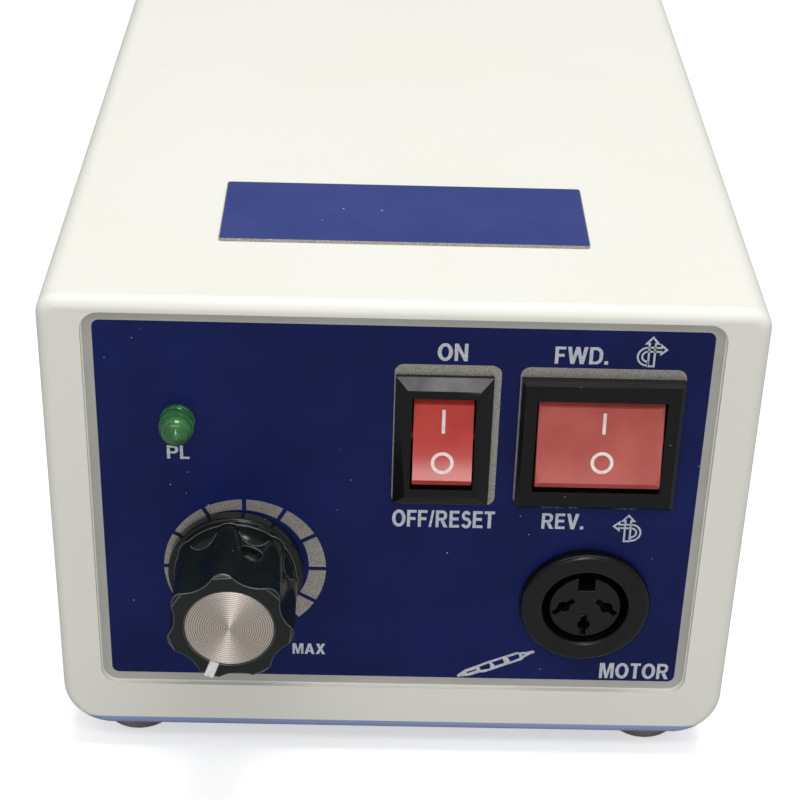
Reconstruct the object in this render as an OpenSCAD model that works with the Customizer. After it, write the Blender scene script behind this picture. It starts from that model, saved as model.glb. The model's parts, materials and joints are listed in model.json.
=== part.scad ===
// Control unit of a dental laboratory micromotor.
// A moulded box with a recessed front panel that carries a pilot lamp, two rocker switches,
// a speed knob on a potentiometer and a three-pole round motor socket.
// Inside are a mains transformer and a regulator board; the back has the cord gland,
// a fuse holder, a foot pedal jack and a hand or pedal selector.
// Millimetres. +Z is up, the front panel faces -Y, and z = 0 is the table under the feet.

/* [Case] */
// Width of the moulded case
body_w = 110.5; // [107:0.5:124]
// Depth of the moulded case, front face to back face
body_d = 165; // [160:1:190]
// Height of the case from the underside of the base to the top of the cover
body_h = 81.5; // [80:0.5:92]
// Wall of the cover at the sides, top and back
wall = 2.5; // [2:0.1:3]
// Wall of the cover behind the front face
front_wall = 3; // [2.8:0.1:3.6]
// Thickness of the base plate, which shows as a strip below the cover
base_t = 2.2; // [1.8:0.1:3]
// Radius of the two long top edges
corner_top_r = 3.4; // [3.2:0.1:5]
// Radius of the two long bottom edges
corner_bottom_r = 8; // [6:0.5:9]
// Radius round the rim of the front and back faces
edge_r = 2; // [1:0.1:2.4]

/* [Feet] */
// Height of a rubber foot
foot_h = 4.5; // [4:0.1:7]
// Radius of a rubber foot
foot_r = 6; // [5.4:0.1:7.5]
// Distance of a foot's centre from the side of the case
foot_inset_x = 11.5; // [11:0.5:13]
// Distance of a foot's centre from the front or back face
foot_inset_d = 10.5; // [9.5:0.5:12]

/* [Front panel] */
// Width of the frame of cover left at each side of the recess
panel_side = 6.65; // [5:0.05:8]
// Height of cover left above the recess
panel_above = 2.3; // [2:0.1:3]
// Height of cover left below the recess
panel_below = 7.1; // [5:0.1:8]
// How far the panel's face lies behind the front face
panel_set = 1; // [0.6:0.1:1.2]
// Thickness of the panel plate
panel_t = 0.8; // [0.5:0.1:1]
// Corner radius of the recess
panel_r = 3; // [2:0.1:4]
// Width of the ledge of cover round the panel plate
panel_ledge = 1.25; // [0.8:0.05:1.5]

/* [Top plate] */
// Width of the blank plate on top
top_plate_w = 58.4; // [40:0.1:70]
// Depth of the blank plate on top
top_plate_d = 21.5; // [15:0.5:30]
// Thickness of the blank plate on top
top_plate_t = 0.5; // [0.3:0.1:1]
// Distance from the front face to the plate's front edge
top_plate_from = 20.2; // [15:0.1:35]

/* [Rocker switches] */
// Height of both switch centres above the base's underside
switch_z = 57.7; // [56:0.1:60]
// Power switch centre from the recess's right edge
power_from_right = 42.2; // [40.5:0.1:43]
// Direction switch centre from the recess's right edge
direction_from_right = 18; // [17:0.1:19]
// Bezel height of both switches
bezel_h = 23; // [21.5:0.1:23.5]
// Bezel width of the power switch
power_bezel_w = 15; // [14.5:0.1:16]
// Bezel width of the direction switch
direction_bezel_w = 25; // [24.5:0.1:26]
// How far a bezel stands off the panel
bezel_t = 1.8; // [1.5:0.1:2.5]
// Width of the power rocker
power_rocker_w = 9.2; // [8.6:0.1:9.6]
// Width of the direction rocker
direction_rocker_w = 19.4; // [18:0.1:19.8]
// Angle that a rocker turns through
rocker_swing = 22; // [16:1:26]
// Depth of a switch body behind the panel
switch_depth = 14; // [13:0.5:18]

/* [Speed knob] */
// Knob centre from the recess's left edge
knob_from_left = 22.7; // [21:0.1:25]
// Knob centre above the base's underside
knob_z = 33.1; // [30:0.1:36]
// Height of the knob off the panel
knob_h = 17; // [15:0.5:20]
// Radius of the round skirt
knob_skirt_r = 10.75; // [10.2:0.05:12]
// Thickness of the skirt
knob_skirt_t = 2.2; // [1.8:0.1:3]
// Radius of the round shoulder that the flutes run out on
knob_shoulder_r = 5; // [4.2:0.1:6]
// Radius to the tops of the flutes' lobes
knob_lobe_r = 10.05; // [9.8:0.05:10.2]
// Radius to the bottoms of the flutes
knob_valley_r = 8.6; // [8.3:0.05:8.7]
// Number of lobes
knob_lobes = 7; // [6:1:8]
// Radius of the turned metal cap
knob_cap_r = 6.9; // [6:0.05:7.1]
// Angle of the pointer at rest, counted anticlockwise from the right
pointer_angle = -110; // [-120:1:-100]
// Radius of the potentiometer's shaft
shaft_r = 3; // [2.8:0.05:3.2]

/* [Pilot lamp] */
// Lamp centre from the recess's left edge
lamp_from_left = 14.1; // [10:0.1:18]
// Lamp centre above the base's underside
lamp_z = 60.3; // [58:0.1:63]
// Radius of the lamp
lamp_r = 2.7; // [1.8:0.1:3]
// How far the lamp stands out of the panel
lamp_out = 5.6; // [4:0.1:7]

/* [Motor socket] */
// Socket centre from the recess's right edge
socket_from_right = 17.9; // [17:0.1:19]
// Socket centre above the base's underside
socket_z = 27.1; // [25.5:0.1:28]
// Radius of the socket's flange
socket_flange_r = 10.6; // [10:0.1:12]
// How far the flange stands off the panel
socket_flange_t = 2; // [1.5:0.1:3]
// Radius of the plug opening
socket_open_r = 6.95; // [6.6:0.05:7.2]
// Radius of the insulating core
socket_core_r = 5.75; // [5.4:0.05:6]
// Radius of the circle through the three contacts
socket_pin_circle_r = 3.5; // [3.3:0.05:3.6]

/* [Transformer] */
// Width of the lamination stack
core_w = 66; // [60:1:70]
// Height of the lamination stack
core_h = 55; // [50:1:60]
// Thickness of the stack, along the case
core_d = 30; // [24:1:34]
// How far the winding stands out of each end of the stack
coil_out = 9.5; // [7:0.5:11]
// Distance of its centre in front of the back face
core_from_back = 59; // [55:1:61]

/* [Circuit board] */
// Width of the board
board_w = 84; // [80:1:88]
// Depth of the board
board_d = 54; // [50:1:56]
// Distance from the front face to the board's front edge
board_from = 18; // [17:0.5:20]
// Height of the pillars under the board
pillar_h = 6; // [4:0.5:9]

/* [Back] */
// Distance of the back's fittings from the sides of the case
back_side = 19.25; // [18.75:0.25:21]
// Height of the gland and the selector above the base's underside
back_low_z = 26; // [25:0.5:30]
// Height of the fuse holder and the jack above the base's underside
back_high_z = 52; // [49:0.5:56]
// Radius of the gland's cord hole
gland_bore_r = 3.3; // [2.5:0.1:3.6]
// How far the gland stands out of the back
gland_out = 16; // [14:0.5:20]
// Radius of the pedal jack's hole
jack_bore_r = 3.25; // [3:0.05:3.4]
// Travel of the selector's slider
selector_travel = 4; // [2:0.5:4.5]

/* [Hidden] */
$fn = 64;

// Clearances
slip = 0.05;       // radial play of a shaft or pin that turns, and of a plug in its seat
gap = 0.3;         // air between a moving piece and what it passes
cutout_gap = 0.1;  // play of a snapped-in body in its cut-out
screw_free = 0.25; // radial play of a screw in the hole it passes
over = 1;          // how far a cutting tool runs past the piece it cuts

// Levels and depths. A depth d is measured from the front face towards the back.
knob_reach = knob_h - panel_set;
front_y = -(body_d + gland_out - knob_reach) / 2;
z_base = foot_h;
z_split = foot_h + base_t;
z_top = foot_h + body_h;
panel_back = panel_set + panel_t;
back_in = body_d - wall;
core_from = body_d - core_from_back;
back_play = 0.15;  // how far the panel plate stays off the walls of its pocket

// Places on the front and the back, in the frame of the whole unit
recess_w = body_w - 2 * panel_side;
power_x = recess_w / 2 - power_from_right;
direction_x = recess_w / 2 - direction_from_right;
socket_x = recess_w / 2 - socket_from_right;
knob_x = recess_w / 2 - knob_from_left;
lamp_x = recess_w / 2 - lamp_from_left;
back_x = body_w / 2 - back_side;
z_switch = z_base + switch_z;
z_knob = z_base + knob_z;
z_lamp = z_base + lamp_z;
z_socket = z_base + socket_z;
z_low = z_base + back_low_z;
z_high = z_base + back_high_z;

// Draws its children facing the front: x across, y up, extruded from depth d_back forward to d_front
module front_slab(x, z, d_front, d_back) {
  translate([x, front_y + d_back, z])
    rotate([90, 0, 0])
      linear_extrude(height = d_back - d_front) children();
}

// Puts children with their own axis along z on an axis that points out of the front, at depth d
module facing_front(x, z, d) {
  translate([x, front_y + d, z])
    rotate([90, 0, 0]) children();
}

// Puts children with their own axis along z on an axis that points out of the back, at depth d
module facing_back(x, z, d) {
  translate([x, front_y + d, z])
    rotate([-90, 0, 0]) children();
}

// Rectangle with true arcs at its corners
module rounded_rect(w, h, r) {
  square([w - 2 * r, h], center = true);
  square([w, h - 2 * r], center = true);
  for (sx = [-1, 1], sy = [-1, 1])
    translate([sx * (w / 2 - r), sy * (h / 2 - r)]) circle(r);
}

// Upright slot with round ends
module slot(w, h) {
  square([w, h - w], center = true);
  for (sy = [-1, 1])
    translate([0, sy * (h - w) / 2]) circle(w / 2);
}

// Ring between two radii
module ring(r_out, r_in) {
  difference() {
    circle(r_out);
    circle(r_in);
  }
}

// Regular hexagon with a given size across its flats
module hexagon(flats) {
  circle(flats / 2 / cos(30), $fn = 6);
}

// Four places, mirrored about the middle of the case
module at_feet() {
  for (sx = [-1, 1], d = [foot_inset_d, body_d - foot_inset_d])
    translate([sx * (body_w / 2 - foot_inset_x), front_y + d, 0]) children();
}

// Moulded case. The outline seen from the front has tight top corners and full bottom corners;
// its rim is rounded front and back. The solid is a core block, four straight borders and four
// turned corners that share one section.
module border_section(t) {
  square([t - edge_r, body_d]);
  translate([0, edge_r]) square([t, body_d - 2 * edge_r]);
  for (v = [edge_r, body_d - edge_r])
    translate([t - edge_r, v])
      intersection() {
        circle(edge_r);
        translate([0, -edge_r]) square([edge_r, 2 * edge_r]);
      }
}

module straight_border(length, t) {
  rotate([90, 0, 90])
    linear_extrude(height = length) border_section(t);
}

module case_solid() {
  half = body_w / 2;
  top_in = half - corner_top_r;
  bottom_in = half - corner_bottom_r;
  side_h = body_h - corner_top_r - corner_bottom_r;
  translate([0, front_y + body_d, z_base])
    rotate([90, 0, 0]) {
      translate([-bottom_in, corner_bottom_r, 0]) cube([2 * bottom_in, side_h, body_d]);
      translate([-top_in, body_h - corner_top_r, 0]) straight_border(2 * top_in, corner_top_r);
      translate([bottom_in, corner_bottom_r, 0])
        rotate(180) straight_border(2 * bottom_in, corner_bottom_r);
      translate([-bottom_in, corner_bottom_r, 0])
        rotate(90) straight_border(side_h, corner_bottom_r);
      translate([bottom_in, body_h - corner_top_r, 0])
        rotate(-90) straight_border(side_h, corner_bottom_r);
      for (turn = [0, 90])
        translate([(turn == 0 ? 1 : -1) * top_in, body_h - corner_top_r, 0])
          rotate(turn) rotate_extrude(angle = 90) border_section(corner_top_r);
      for (turn = [180, 270])
        translate([(turn == 270 ? 1 : -1) * bottom_in, corner_bottom_r, 0])
          rotate(turn) rotate_extrude(angle = 90) border_section(corner_bottom_r);
    }
}

// Inside of the cover: the outline moved in by the wall, and open below between the bottom corners
module cover_hollow() {
  inner_top_r = corner_top_r - wall;
  inner_bottom_r = corner_bottom_r - wall;
  in_w = body_w - 2 * wall;
  open_w = body_w - 2 * corner_bottom_r;
  side_low = corner_bottom_r;
  side_high = body_h - corner_top_r;
  front_slab(0, z_base, front_wall, back_in) {
    translate([-in_w / 2, side_low]) square([in_w, side_high - side_low]);
    translate([-in_w / 2 + inner_top_r, side_low]) square([in_w - 2 * inner_top_r, body_h - wall - side_low]);
    translate([-open_w / 2, -over]) square([open_w, side_low + 2 * over]);
    for (sx = [-1, 1]) {
      translate([sx * (in_w / 2 - inner_top_r), side_high]) circle(inner_top_r);
      translate([sx * open_w / 2, side_low]) circle(inner_bottom_r);
    }
  }
}

// Posts that take the case screws, ribbed to the side walls
post_r = 3.8;
post_h = 11;
post_end_t = 1;
post_rib_t = 2;
screw_r = 1.45;
module screw_post() {
  cylinder(r = post_r, h = post_h);
}

module post_ribs() {
  rib_from = body_w / 2 - foot_inset_x;
  rib_to = body_w / 2 - wall / 2;
  rib_low = corner_bottom_r - base_t;
  for (sx = [-1, 1], d = [foot_inset_d, body_d - foot_inset_d])
    translate([min(sx * rib_from, sx * rib_to), front_y + d - post_rib_t / 2, z_split + rib_low])
      cube([rib_to - rib_from, post_rib_t, post_h - rib_low]);
}

// Recess and cut-outs of the front, shared by the cover and the panel plate
recess_h = body_h - base_t - panel_above - panel_below;
z_recess = z_split + panel_below + recess_h / 2;
bezel_lap = 1.05;
power_body_w = power_bezel_w - 2 * bezel_lap;
direction_body_w = direction_bezel_w - 2 * bezel_lap;
switch_body_h = bezel_h - 2 * bezel_lap;
bush_wall = 0.5;
bush_r = shaft_r + bush_wall;
socket_wall = 1.85;
socket_barrel_r = socket_open_r + socket_wall;
module front_cutouts() {
  for (s = [[power_x, power_body_w], [direction_x, direction_body_w]])
    translate([s[0], z_switch])
      square([s[1] + 2 * cutout_gap, switch_body_h + 2 * cutout_gap], center = true);
  translate([-knob_x, z_knob]) circle(bush_r + slip);
  translate([-lamp_x, z_lamp]) circle(lamp_r + slip);
  translate([socket_x, z_socket]) circle(socket_barrel_r + slip);
}

// Holes of the back wall
gland_wall = 2.7;
gland_thread_r = gland_bore_r + gland_wall;
fuse_body_r = 6;
jack_wall = 1.25;
jack_bush_r = jack_bore_r + jack_wall;
selector_slot_h = 4;
slider_w = 6;
vent_w = 2.2;
vent_h = 26;
vent_pitch = 5;
vent_count = 7;
module back_cutouts() {
  translate([back_x, z_low]) circle(gland_thread_r + slip);
  translate([back_x, z_high]) circle(fuse_body_r + slip);
  translate([-back_x, z_high]) circle(jack_bush_r + slip);
  translate([-back_x, z_low])
    square([slider_w + selector_travel + 2 * gap, selector_slot_h], center = true);
  for (sx = [-1, 1])
    translate([sx * selector_bolt_x - back_x, z_low]) circle(selector_bolt_r + screw_free);
  for (i = [0 : vent_count - 1])
    translate([(i - (vent_count - 1) / 2) * vent_pitch, (z_low + z_high) / 2])
      slot(vent_w, vent_h);
}

// Outline of the recess, drawn in by that much
module panel_outline(inset) {
  rounded_rect(recess_w - 2 * inset, recess_h - 2 * inset, panel_r - inset);
}

module cover() {
  color("#EFEEE3")
    difference() {
      union() {
        difference() {
          case_solid();
          cover_hollow();
          translate([-body_w, front_y - over, z_base - over])
            cube([2 * body_w, body_d + 2 * over, base_t + over]);
        }
        at_feet() translate([0, 0, z_split]) screw_post();
        post_ribs();
      }
      front_slab(0, z_recess, -over, panel_set) rounded_rect(recess_w, recess_h, panel_r);
      front_slab(0, z_recess, 0, panel_back) panel_outline(panel_ledge);
      front_slab(0, 0, 0, front_wall + over) front_cutouts();
      front_slab(0, 0, back_in - over, body_d + over) back_cutouts();
      at_feet()
        translate([0, 0, z_split - over]) cylinder(r = screw_r + slip, h = post_h - post_end_t + over);
    }
}

// Base: a plate with the case's rounded edges, locating rails, pillars and vents
rail_t = 1.6;
rail_h = 4;
rail_to_post = 2;
pillar_r = 3.2;
pillar_hole_r = 1.25;
strap_post_h = 5;
strap_post_r = 4.2;
strap_screw_r = 1.7;
strap_t = 1.2;
strap_foot = 11;
board_hole_inset = 4;
base_vent_l = 14;
base_vent_w = 3;
base_vent_off = 2;

module at_board_holes() {
  for (sx = [-1, 1], d = [board_hole_inset, board_d - board_hole_inset])
    translate([sx * (board_w / 2 - board_hole_inset), front_y + board_from + d, 0]) children();
}

strap_hole_x = core_w / 2 + strap_t + strap_foot / 2;
module at_strap_holes() {
  for (sx = [-1, 1])
    translate([sx * strap_hole_x, front_y + core_from, 0]) children();
}

module base_rails() {
  rail_x = body_w / 2 - corner_bottom_r - gap - rail_t;
  clear_of_post = foot_inset_d + post_r + rail_to_post;
  side_len = body_d - 2 * clear_of_post;
  end_len = body_w - 2 * (foot_inset_x + post_r + rail_to_post);
  for (x = [-rail_x - rail_t, rail_x])
    translate([x, front_y + clear_of_post, z_split]) cube([rail_t, side_len, rail_h]);
  for (d = [front_wall + gap, back_in - gap - rail_t])
    translate([-end_len / 2, front_y + d, z_split]) cube([end_len, rail_t, rail_h]);
}

module base_tray() {
  color("#3C4688")
    difference() {
      union() {
        intersection() {
          case_solid();
          translate([-body_w, front_y - over, z_base - over])
            cube([2 * body_w, body_d + 2 * over, base_t + over]);
        }
        base_rails();
        at_board_holes() translate([0, 0, z_split]) cylinder(r = pillar_r, h = pillar_h);
        at_strap_holes() translate([0, 0, z_split]) cylinder(r = strap_post_r, h = strap_post_h);
      }
      at_feet() translate([0, 0, z_base - over]) cylinder(r = screw_r + screw_free, h = base_t + 2 * over);
      at_board_holes() translate([0, 0, z_split]) cylinder(r = pillar_hole_r + slip, h = pillar_h + over);
      at_strap_holes() translate([0, 0, z_split]) cylinder(r = strap_screw_r + slip, h = strap_post_h + over);
      for (i = [0 : vent_count - 1], sd = [-1, 1])
        translate([(i - (vent_count - 1) / 2) * 2 * vent_pitch,
                   front_y + core_from + sd * (core_d / 2 + base_vent_l / 2 + base_vent_off), z_base - over])
          linear_extrude(height = base_t + 2 * over)
            slot(base_vent_w, base_vent_l);
    }
}

// Feet and the screws that go up through them
screw_head_r = 2.8;
screw_head_h = 2;
head_room = 0.5;
foot_pocket_h = 2.8;
foot_edge_r = 0.8;
screw_short = 2;
module rubber_feet() {
  color("#55524E")
    at_feet()
      difference() {
        rotate_extrude() {
          square([foot_r - foot_edge_r, foot_h]);
          translate([0, foot_edge_r]) square([foot_r, foot_h - foot_edge_r]);
          translate([foot_r - foot_edge_r, foot_edge_r]) circle(foot_edge_r);
        }
        translate([0, 0, -over]) cylinder(r = screw_head_r + head_room, h = foot_pocket_h + over);
        translate([0, 0, foot_pocket_h - over]) cylinder(r = screw_r + screw_free, h = foot_h + over);
      }
}

// Cross-head screw: its head stands on z = 0 and its shank goes down
cross_w = 0.6;
module cross_screw(r, head_r, head_h, length) {
  translate([0, 0, -length]) cylinder(r = r, h = length);
  difference() {
    cylinder(r = head_r, h = head_h);
    for (a = [0, 90])
      rotate(a)
        translate([-head_r * 0.6, -cross_w / 2, head_h * 0.4]) cube([head_r * 1.2, cross_w, head_h]);
  }
}

module case_screws() {
  screw_len = foot_h - foot_pocket_h + base_t + post_h - post_end_t - screw_short;
  color("#B9BBBE")
    at_feet()
      translate([0, 0, foot_pocket_h])
        rotate([180, 0, 0]) cross_screw(screw_r, screw_head_r, screw_head_h, screw_len);
}

module front_panel() {
  color("#1B2458")
    difference() {
      front_slab(0, z_recess, panel_set, panel_back) panel_outline(panel_ledge + back_play);
      front_slab(0, 0, panel_set - over, panel_back + over) front_cutouts();
    }
}

top_plate_r = 0.6;
module top_plate() {
  color("#2B357C")
    translate([0, front_y + top_plate_from + top_plate_d / 2, z_top])
      linear_extrude(height = top_plate_t) rounded_rect(top_plate_w, top_plate_d, top_plate_r);
}

// Pilot lamp: a flanged dome with two beads, pushed through from behind
lamp_flange = 0.45;
lamp_flange_t = 1;
lamp_bead = 0.15;
module pilot_lamp() {
  dome_r = lamp_r - lamp_bead;
  to_face = front_wall - panel_set;
  body_len = to_face + lamp_out - dome_r;
  bead_t = 0.5;
  bead_at = to_face + 2;
  color("#3E8A4A")
    facing_front(-lamp_x, z_lamp, front_wall)
      rotate_extrude() {
        translate([0, -lamp_flange_t]) square([lamp_r + lamp_flange, lamp_flange_t]);
        square([lamp_r, to_face + bead_t]);
        translate([0, bead_at]) square([lamp_r, bead_t]);
        square([dome_r, body_len]);
        translate([0, body_len]) intersection() {
          circle(dome_r);
          square(dome_r);
        }
      }
}

module lamp_leads() {
  lead_t = 0.5;
  lead_len = 12;
  lead_pitch = 2.54;
  color("#C9C9C4")
    for (sx = [-1, 1])
      front_slab(-lamp_x + sx * lead_pitch / 2, z_lamp,
                 front_wall + lamp_flange_t, front_wall + lamp_flange_t + lead_len)
        square(lead_t, center = true);
}

// Rocker switches. A rocker's face is one hollow arc about the middle of the swing: its pressed end
// lies just below the bezel's face and its other end stands out by the swing, so a turn by the swing
// swaps the two.
rocker_sunk = 0.6;
rocker_valley = 3.6;
rocker_back = 3.4;
rocker_nose = 0.6;
pin_r = 0.9;
pin_skin = 0.3;
pin_end_play = 0.15;
switch_frame_h = 3.3;
opening_h = bezel_h - 2 * switch_frame_h;
rocker_r = opening_h / 2 - gap;
face_r = rocker_r / sin(rocker_swing / 2);
face_at = face_r + rocker_valley;
pivot_d = panel_set - bezel_t + rocker_sunk + face_at * cos(rocker_swing / 2) - face_r;
rocker_room = rocker_back * cos(rocker_swing) + rocker_r * sin(rocker_swing) + gap;

// Half section of a bezel: upright edge, then a bevel in to the flat face
module bezel_section(w, edge_t, bevel) {
  polygon([
    [-w / 2, 0], [w / 2, 0], [w / 2, edge_t], [w / 2 - bevel, bezel_t],
    [bevel - w / 2, bezel_t], [-w / 2, edge_t]
  ]);
}

// The same section run along both sides, so the bevels meet in mitres
module bezel(w, edge_t, bevel) {
  translate([0, front_y + panel_set, 0])
    rotate([90, 0, 0])
      intersection() {
        translate([0, bezel_h / 2, 0])
          rotate([90, 0, 0]) linear_extrude(height = bezel_h) bezel_section(w, edge_t, bevel);
        translate([-w / 2, 0, 0])
          rotate([90, 0, 90]) linear_extrude(height = w) bezel_section(bezel_h, edge_t, bevel);
      }
}

// Spring barbs that hold the body behind the front wall
module barbs(width) {
  barb_out = 0.9;
  barb_len = 4;
  barb_nose = 0.6;
  for (side = [-1, 1])
    translate([-width / 2, front_y, side * switch_body_h / 2])
      rotate([90, 0, 90])
        linear_extrude(height = width)
          polygon([
            [front_wall + slip, 0], [front_wall + slip, side * barb_out],
            [front_wall + barb_nose, side * barb_out], [front_wall + barb_len, 0]
          ]);
}

module switch_housing(x, w, body_w, open_w, edge_t, bevel) {
  translate([x, 0, z_switch])
    difference() {
      union() {
        bezel(w, edge_t, bevel);
        front_slab(0, 0, panel_set, panel_set + switch_depth) square([body_w, switch_body_h], center = true);
        barbs(body_w * 0.5);
      }
      front_slab(0, 0, panel_set - bezel_t - over, pivot_d + rocker_room)
        square([open_w, opening_h], center = true);
      translate([0, front_y + pivot_d, 0])
        rotate([0, 90, 0]) cylinder(r = pin_r + slip, h = body_w - 2 * pin_skin, center = true);
    }
}

// Section of a rocker, its face turned to the middle of the swing
module rocker_section() {
  end_y = (pow(rocker_r, 2) + pow(face_at, 2) - pow(face_r, 2)) / (2 * face_at);
  end_x = sqrt(pow(rocker_r, 2) - pow(end_y, 2));
  nose_side = (end_x + end_y - rocker_nose) * sqrt(2);
  rotate(-rocker_swing / 2)
    difference() {
      intersection() {
        circle(rocker_r);
        rotate(45) square(nose_side, center = true);
        translate([-2 * rocker_r, -rocker_back]) square(4 * rocker_r);
      }
      translate([0, face_at]) circle(face_r);
    }
}

// Width of a rocker: upright sides, bevelled in from that height, so the bevel opens towards both ends
module rocker_width(w, bevel_from) {
  rise = 1.5;
  top = bevel_from + rise;
  bevel = 2 * rise;
  polygon([
    [-w / 2, -rocker_r], [w / 2, -rocker_r], [w / 2, bevel_from], [w / 2 - bevel, top],
    [bevel - w / 2, top], [-w / 2, bevel_from]
  ]);
}

module rocker(x, w, body_w, bevel_from) {
  pin_len = body_w - 2 * (pin_skin + pin_end_play);
  translate([x, front_y + pivot_d, z_switch]) {
    rotate([90, 0, 0])
      intersection() {
        translate([-w / 2, 0, 0])
          rotate([90, 0, 90]) linear_extrude(height = w) rocker_section();
        rotate([90 - rocker_swing / 2, 0, 0])
          linear_extrude(height = 4 * rocker_r, center = true) rocker_width(w, bevel_from);
      }
    rotate([0, 90, 0]) cylinder(r = pin_r, h = pin_len, center = true);
  }
}

blade_w = 4.8;
blade_t = 0.8;
blade_len = 8;
blade_pitch = 5.5;
blade_row = 5.2;
module blades(x, places) {
  for (p = places)
    front_slab(x + p[0], z_switch + p[1], panel_set + switch_depth, panel_set + switch_depth + blade_len)
      square([blade_w, blade_t], center = true);
}

power_open_w = power_rocker_w + 2 * gap;
direction_open_w = direction_rocker_w + 2 * gap;
power_edge_t = 0.8;
power_bevel = 1.9;
direction_edge_t = 1.3;
direction_bevel = 0.6;
power_bevel_up = 0.6;
direction_bevel_up = 0.05;
module power_switch_housing() {
  color("#23262A")
    switch_housing(power_x, power_bezel_w, power_body_w, power_open_w, power_edge_t, power_bevel);
}

module direction_switch_housing() {
  color("#23262A")
    switch_housing(direction_x, direction_bezel_w, direction_body_w, direction_open_w,
                   direction_edge_t, direction_bevel);
}

module power_rocker() {
  color("#CC4438") rocker(power_x, power_rocker_w, power_body_w, rocker_valley + power_bevel_up);
}

module direction_rocker() {
  color("#B9564E")
    rocker(direction_x, direction_rocker_w, direction_body_w, rocker_valley + direction_bevel_up);
}

module power_switch_terminals() {
  color("#C8B27A") blades(power_x, [for (v = [-1, 1]) [0, v * blade_pitch]]);
}

module direction_switch_terminals() {
  color("#C8B27A") blades(direction_x, [for (u = [-1, 1], v = [-1, 0, 1]) [u * blade_row, v * blade_pitch]]);
}

// Potentiometer: can and threaded bush in one piece, washer, nut, and a shaft that turns in the bush
pot_r = 8.5;
pot_t = 9;
pot_bore_in = 5;
washer_t = 0.5;
washer_r = 5.9;
nut_t = 2.2;
nut_flats = 10;
bush_proud = 0.8;
lug_w = 2.4;
lug_t = 0.6;
lug_pitch = 5;
lug_drop = 5;
strip_drop = 1.4;
strip_t = 2;
strip_side = 1;
module speed_pot() {
  bush_len = front_wall - panel_set + washer_t + nut_t + bush_proud;
  strip_w = 2 * (lug_pitch + strip_side) + lug_w;
  color("#A7A9AC")
    facing_front(-knob_x, z_knob, front_wall)
      difference() {
        union() {
          translate([0, 0, -pot_t]) cylinder(r = pot_r, h = pot_t);
          translate([-strip_w / 2, -pot_r - strip_drop, -pot_t / 2 - strip_t / 2])
            cube([strip_w, pot_r, strip_t]);
          cylinder(r = bush_r, h = bush_len);
        }
        translate([0, 0, -pot_bore_in]) cylinder(r = shaft_r + slip, h = pot_bore_in + bush_len + over);
      }
}

module pot_terminals() {
  color("#C8B27A")
    facing_front(-knob_x, z_knob, front_wall + pot_t / 2)
      for (i = [-1, 0, 1])
        translate([i * lug_pitch - lug_w / 2, -pot_r - strip_drop - lug_drop, -lug_t / 2])
          cube([lug_w, lug_drop, lug_t]);
}

module pot_washer() {
  color("#C4C6C8")
    front_slab(-knob_x, z_knob, panel_set - washer_t, panel_set) ring(washer_r, bush_r + slip);
}

module pot_nut() {
  color("#BFC1C3")
    front_slab(-knob_x, z_knob, panel_set - washer_t - nut_t, panel_set - washer_t)
      difference() {
        hexagon(nut_flats);
        circle(bush_r + slip);
      }
}

shaft_in_knob = 3.2;  // metal left between the shaft's end and the knob's face
module pot_shaft() {
  shaft_back = pot_bore_in - slip;
  shaft_len = shaft_back + front_wall + knob_reach - shaft_in_knob;
  color("#B5B7B9")
    facing_front(-knob_x, z_knob, front_wall + shaft_back) cylinder(r = shaft_r, h = shaft_len);
}

// Knob: a round skirt and shoulder under a wavy grip. Each lobe is an arc that runs into the arcs of
// the flutes beside it, so the flutes' radius and place follow from the lobes'. The arcs overlap by
// a hair, so they meet in one clean edge.
knob_lift = 0.6;
lobe_arc_r = 2.5;
arc_lap = 0.015;
lobe_at = knob_lobe_r - lobe_arc_r;
half_step = 180 / knob_lobes;
lobe_less = lobe_arc_r - knob_valley_r;
flute_at = (pow(lobe_at, 2) - pow(lobe_less, 2)) / (2 * (lobe_less + lobe_at * cos(half_step)));
flute_arc_r = flute_at - knob_valley_r + arc_lap;
function polar(r, a) = [r * cos(a), r * sin(a)];
module knob_wave() {
  share = lobe_arc_r / (lobe_arc_r + flute_arc_r);
  touch = [
    for (i = [0 : knob_lobes - 1], s = [-1, 1])
      let (lobe = polar(lobe_at, 2 * i * half_step), flute = polar(flute_at, (2 * i + s) * half_step))
        lobe + share * (flute - lobe)
  ];
  difference() {
    union() {
      polygon(touch);
      for (i = [0 : knob_lobes - 1])
        translate(polar(lobe_at, 2 * i * half_step)) circle(lobe_arc_r);
    }
    for (i = [0 : knob_lobes - 1])
      translate(polar(flute_at, (2 * i + 1) * half_step)) circle(flute_arc_r);
  }
}

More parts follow.
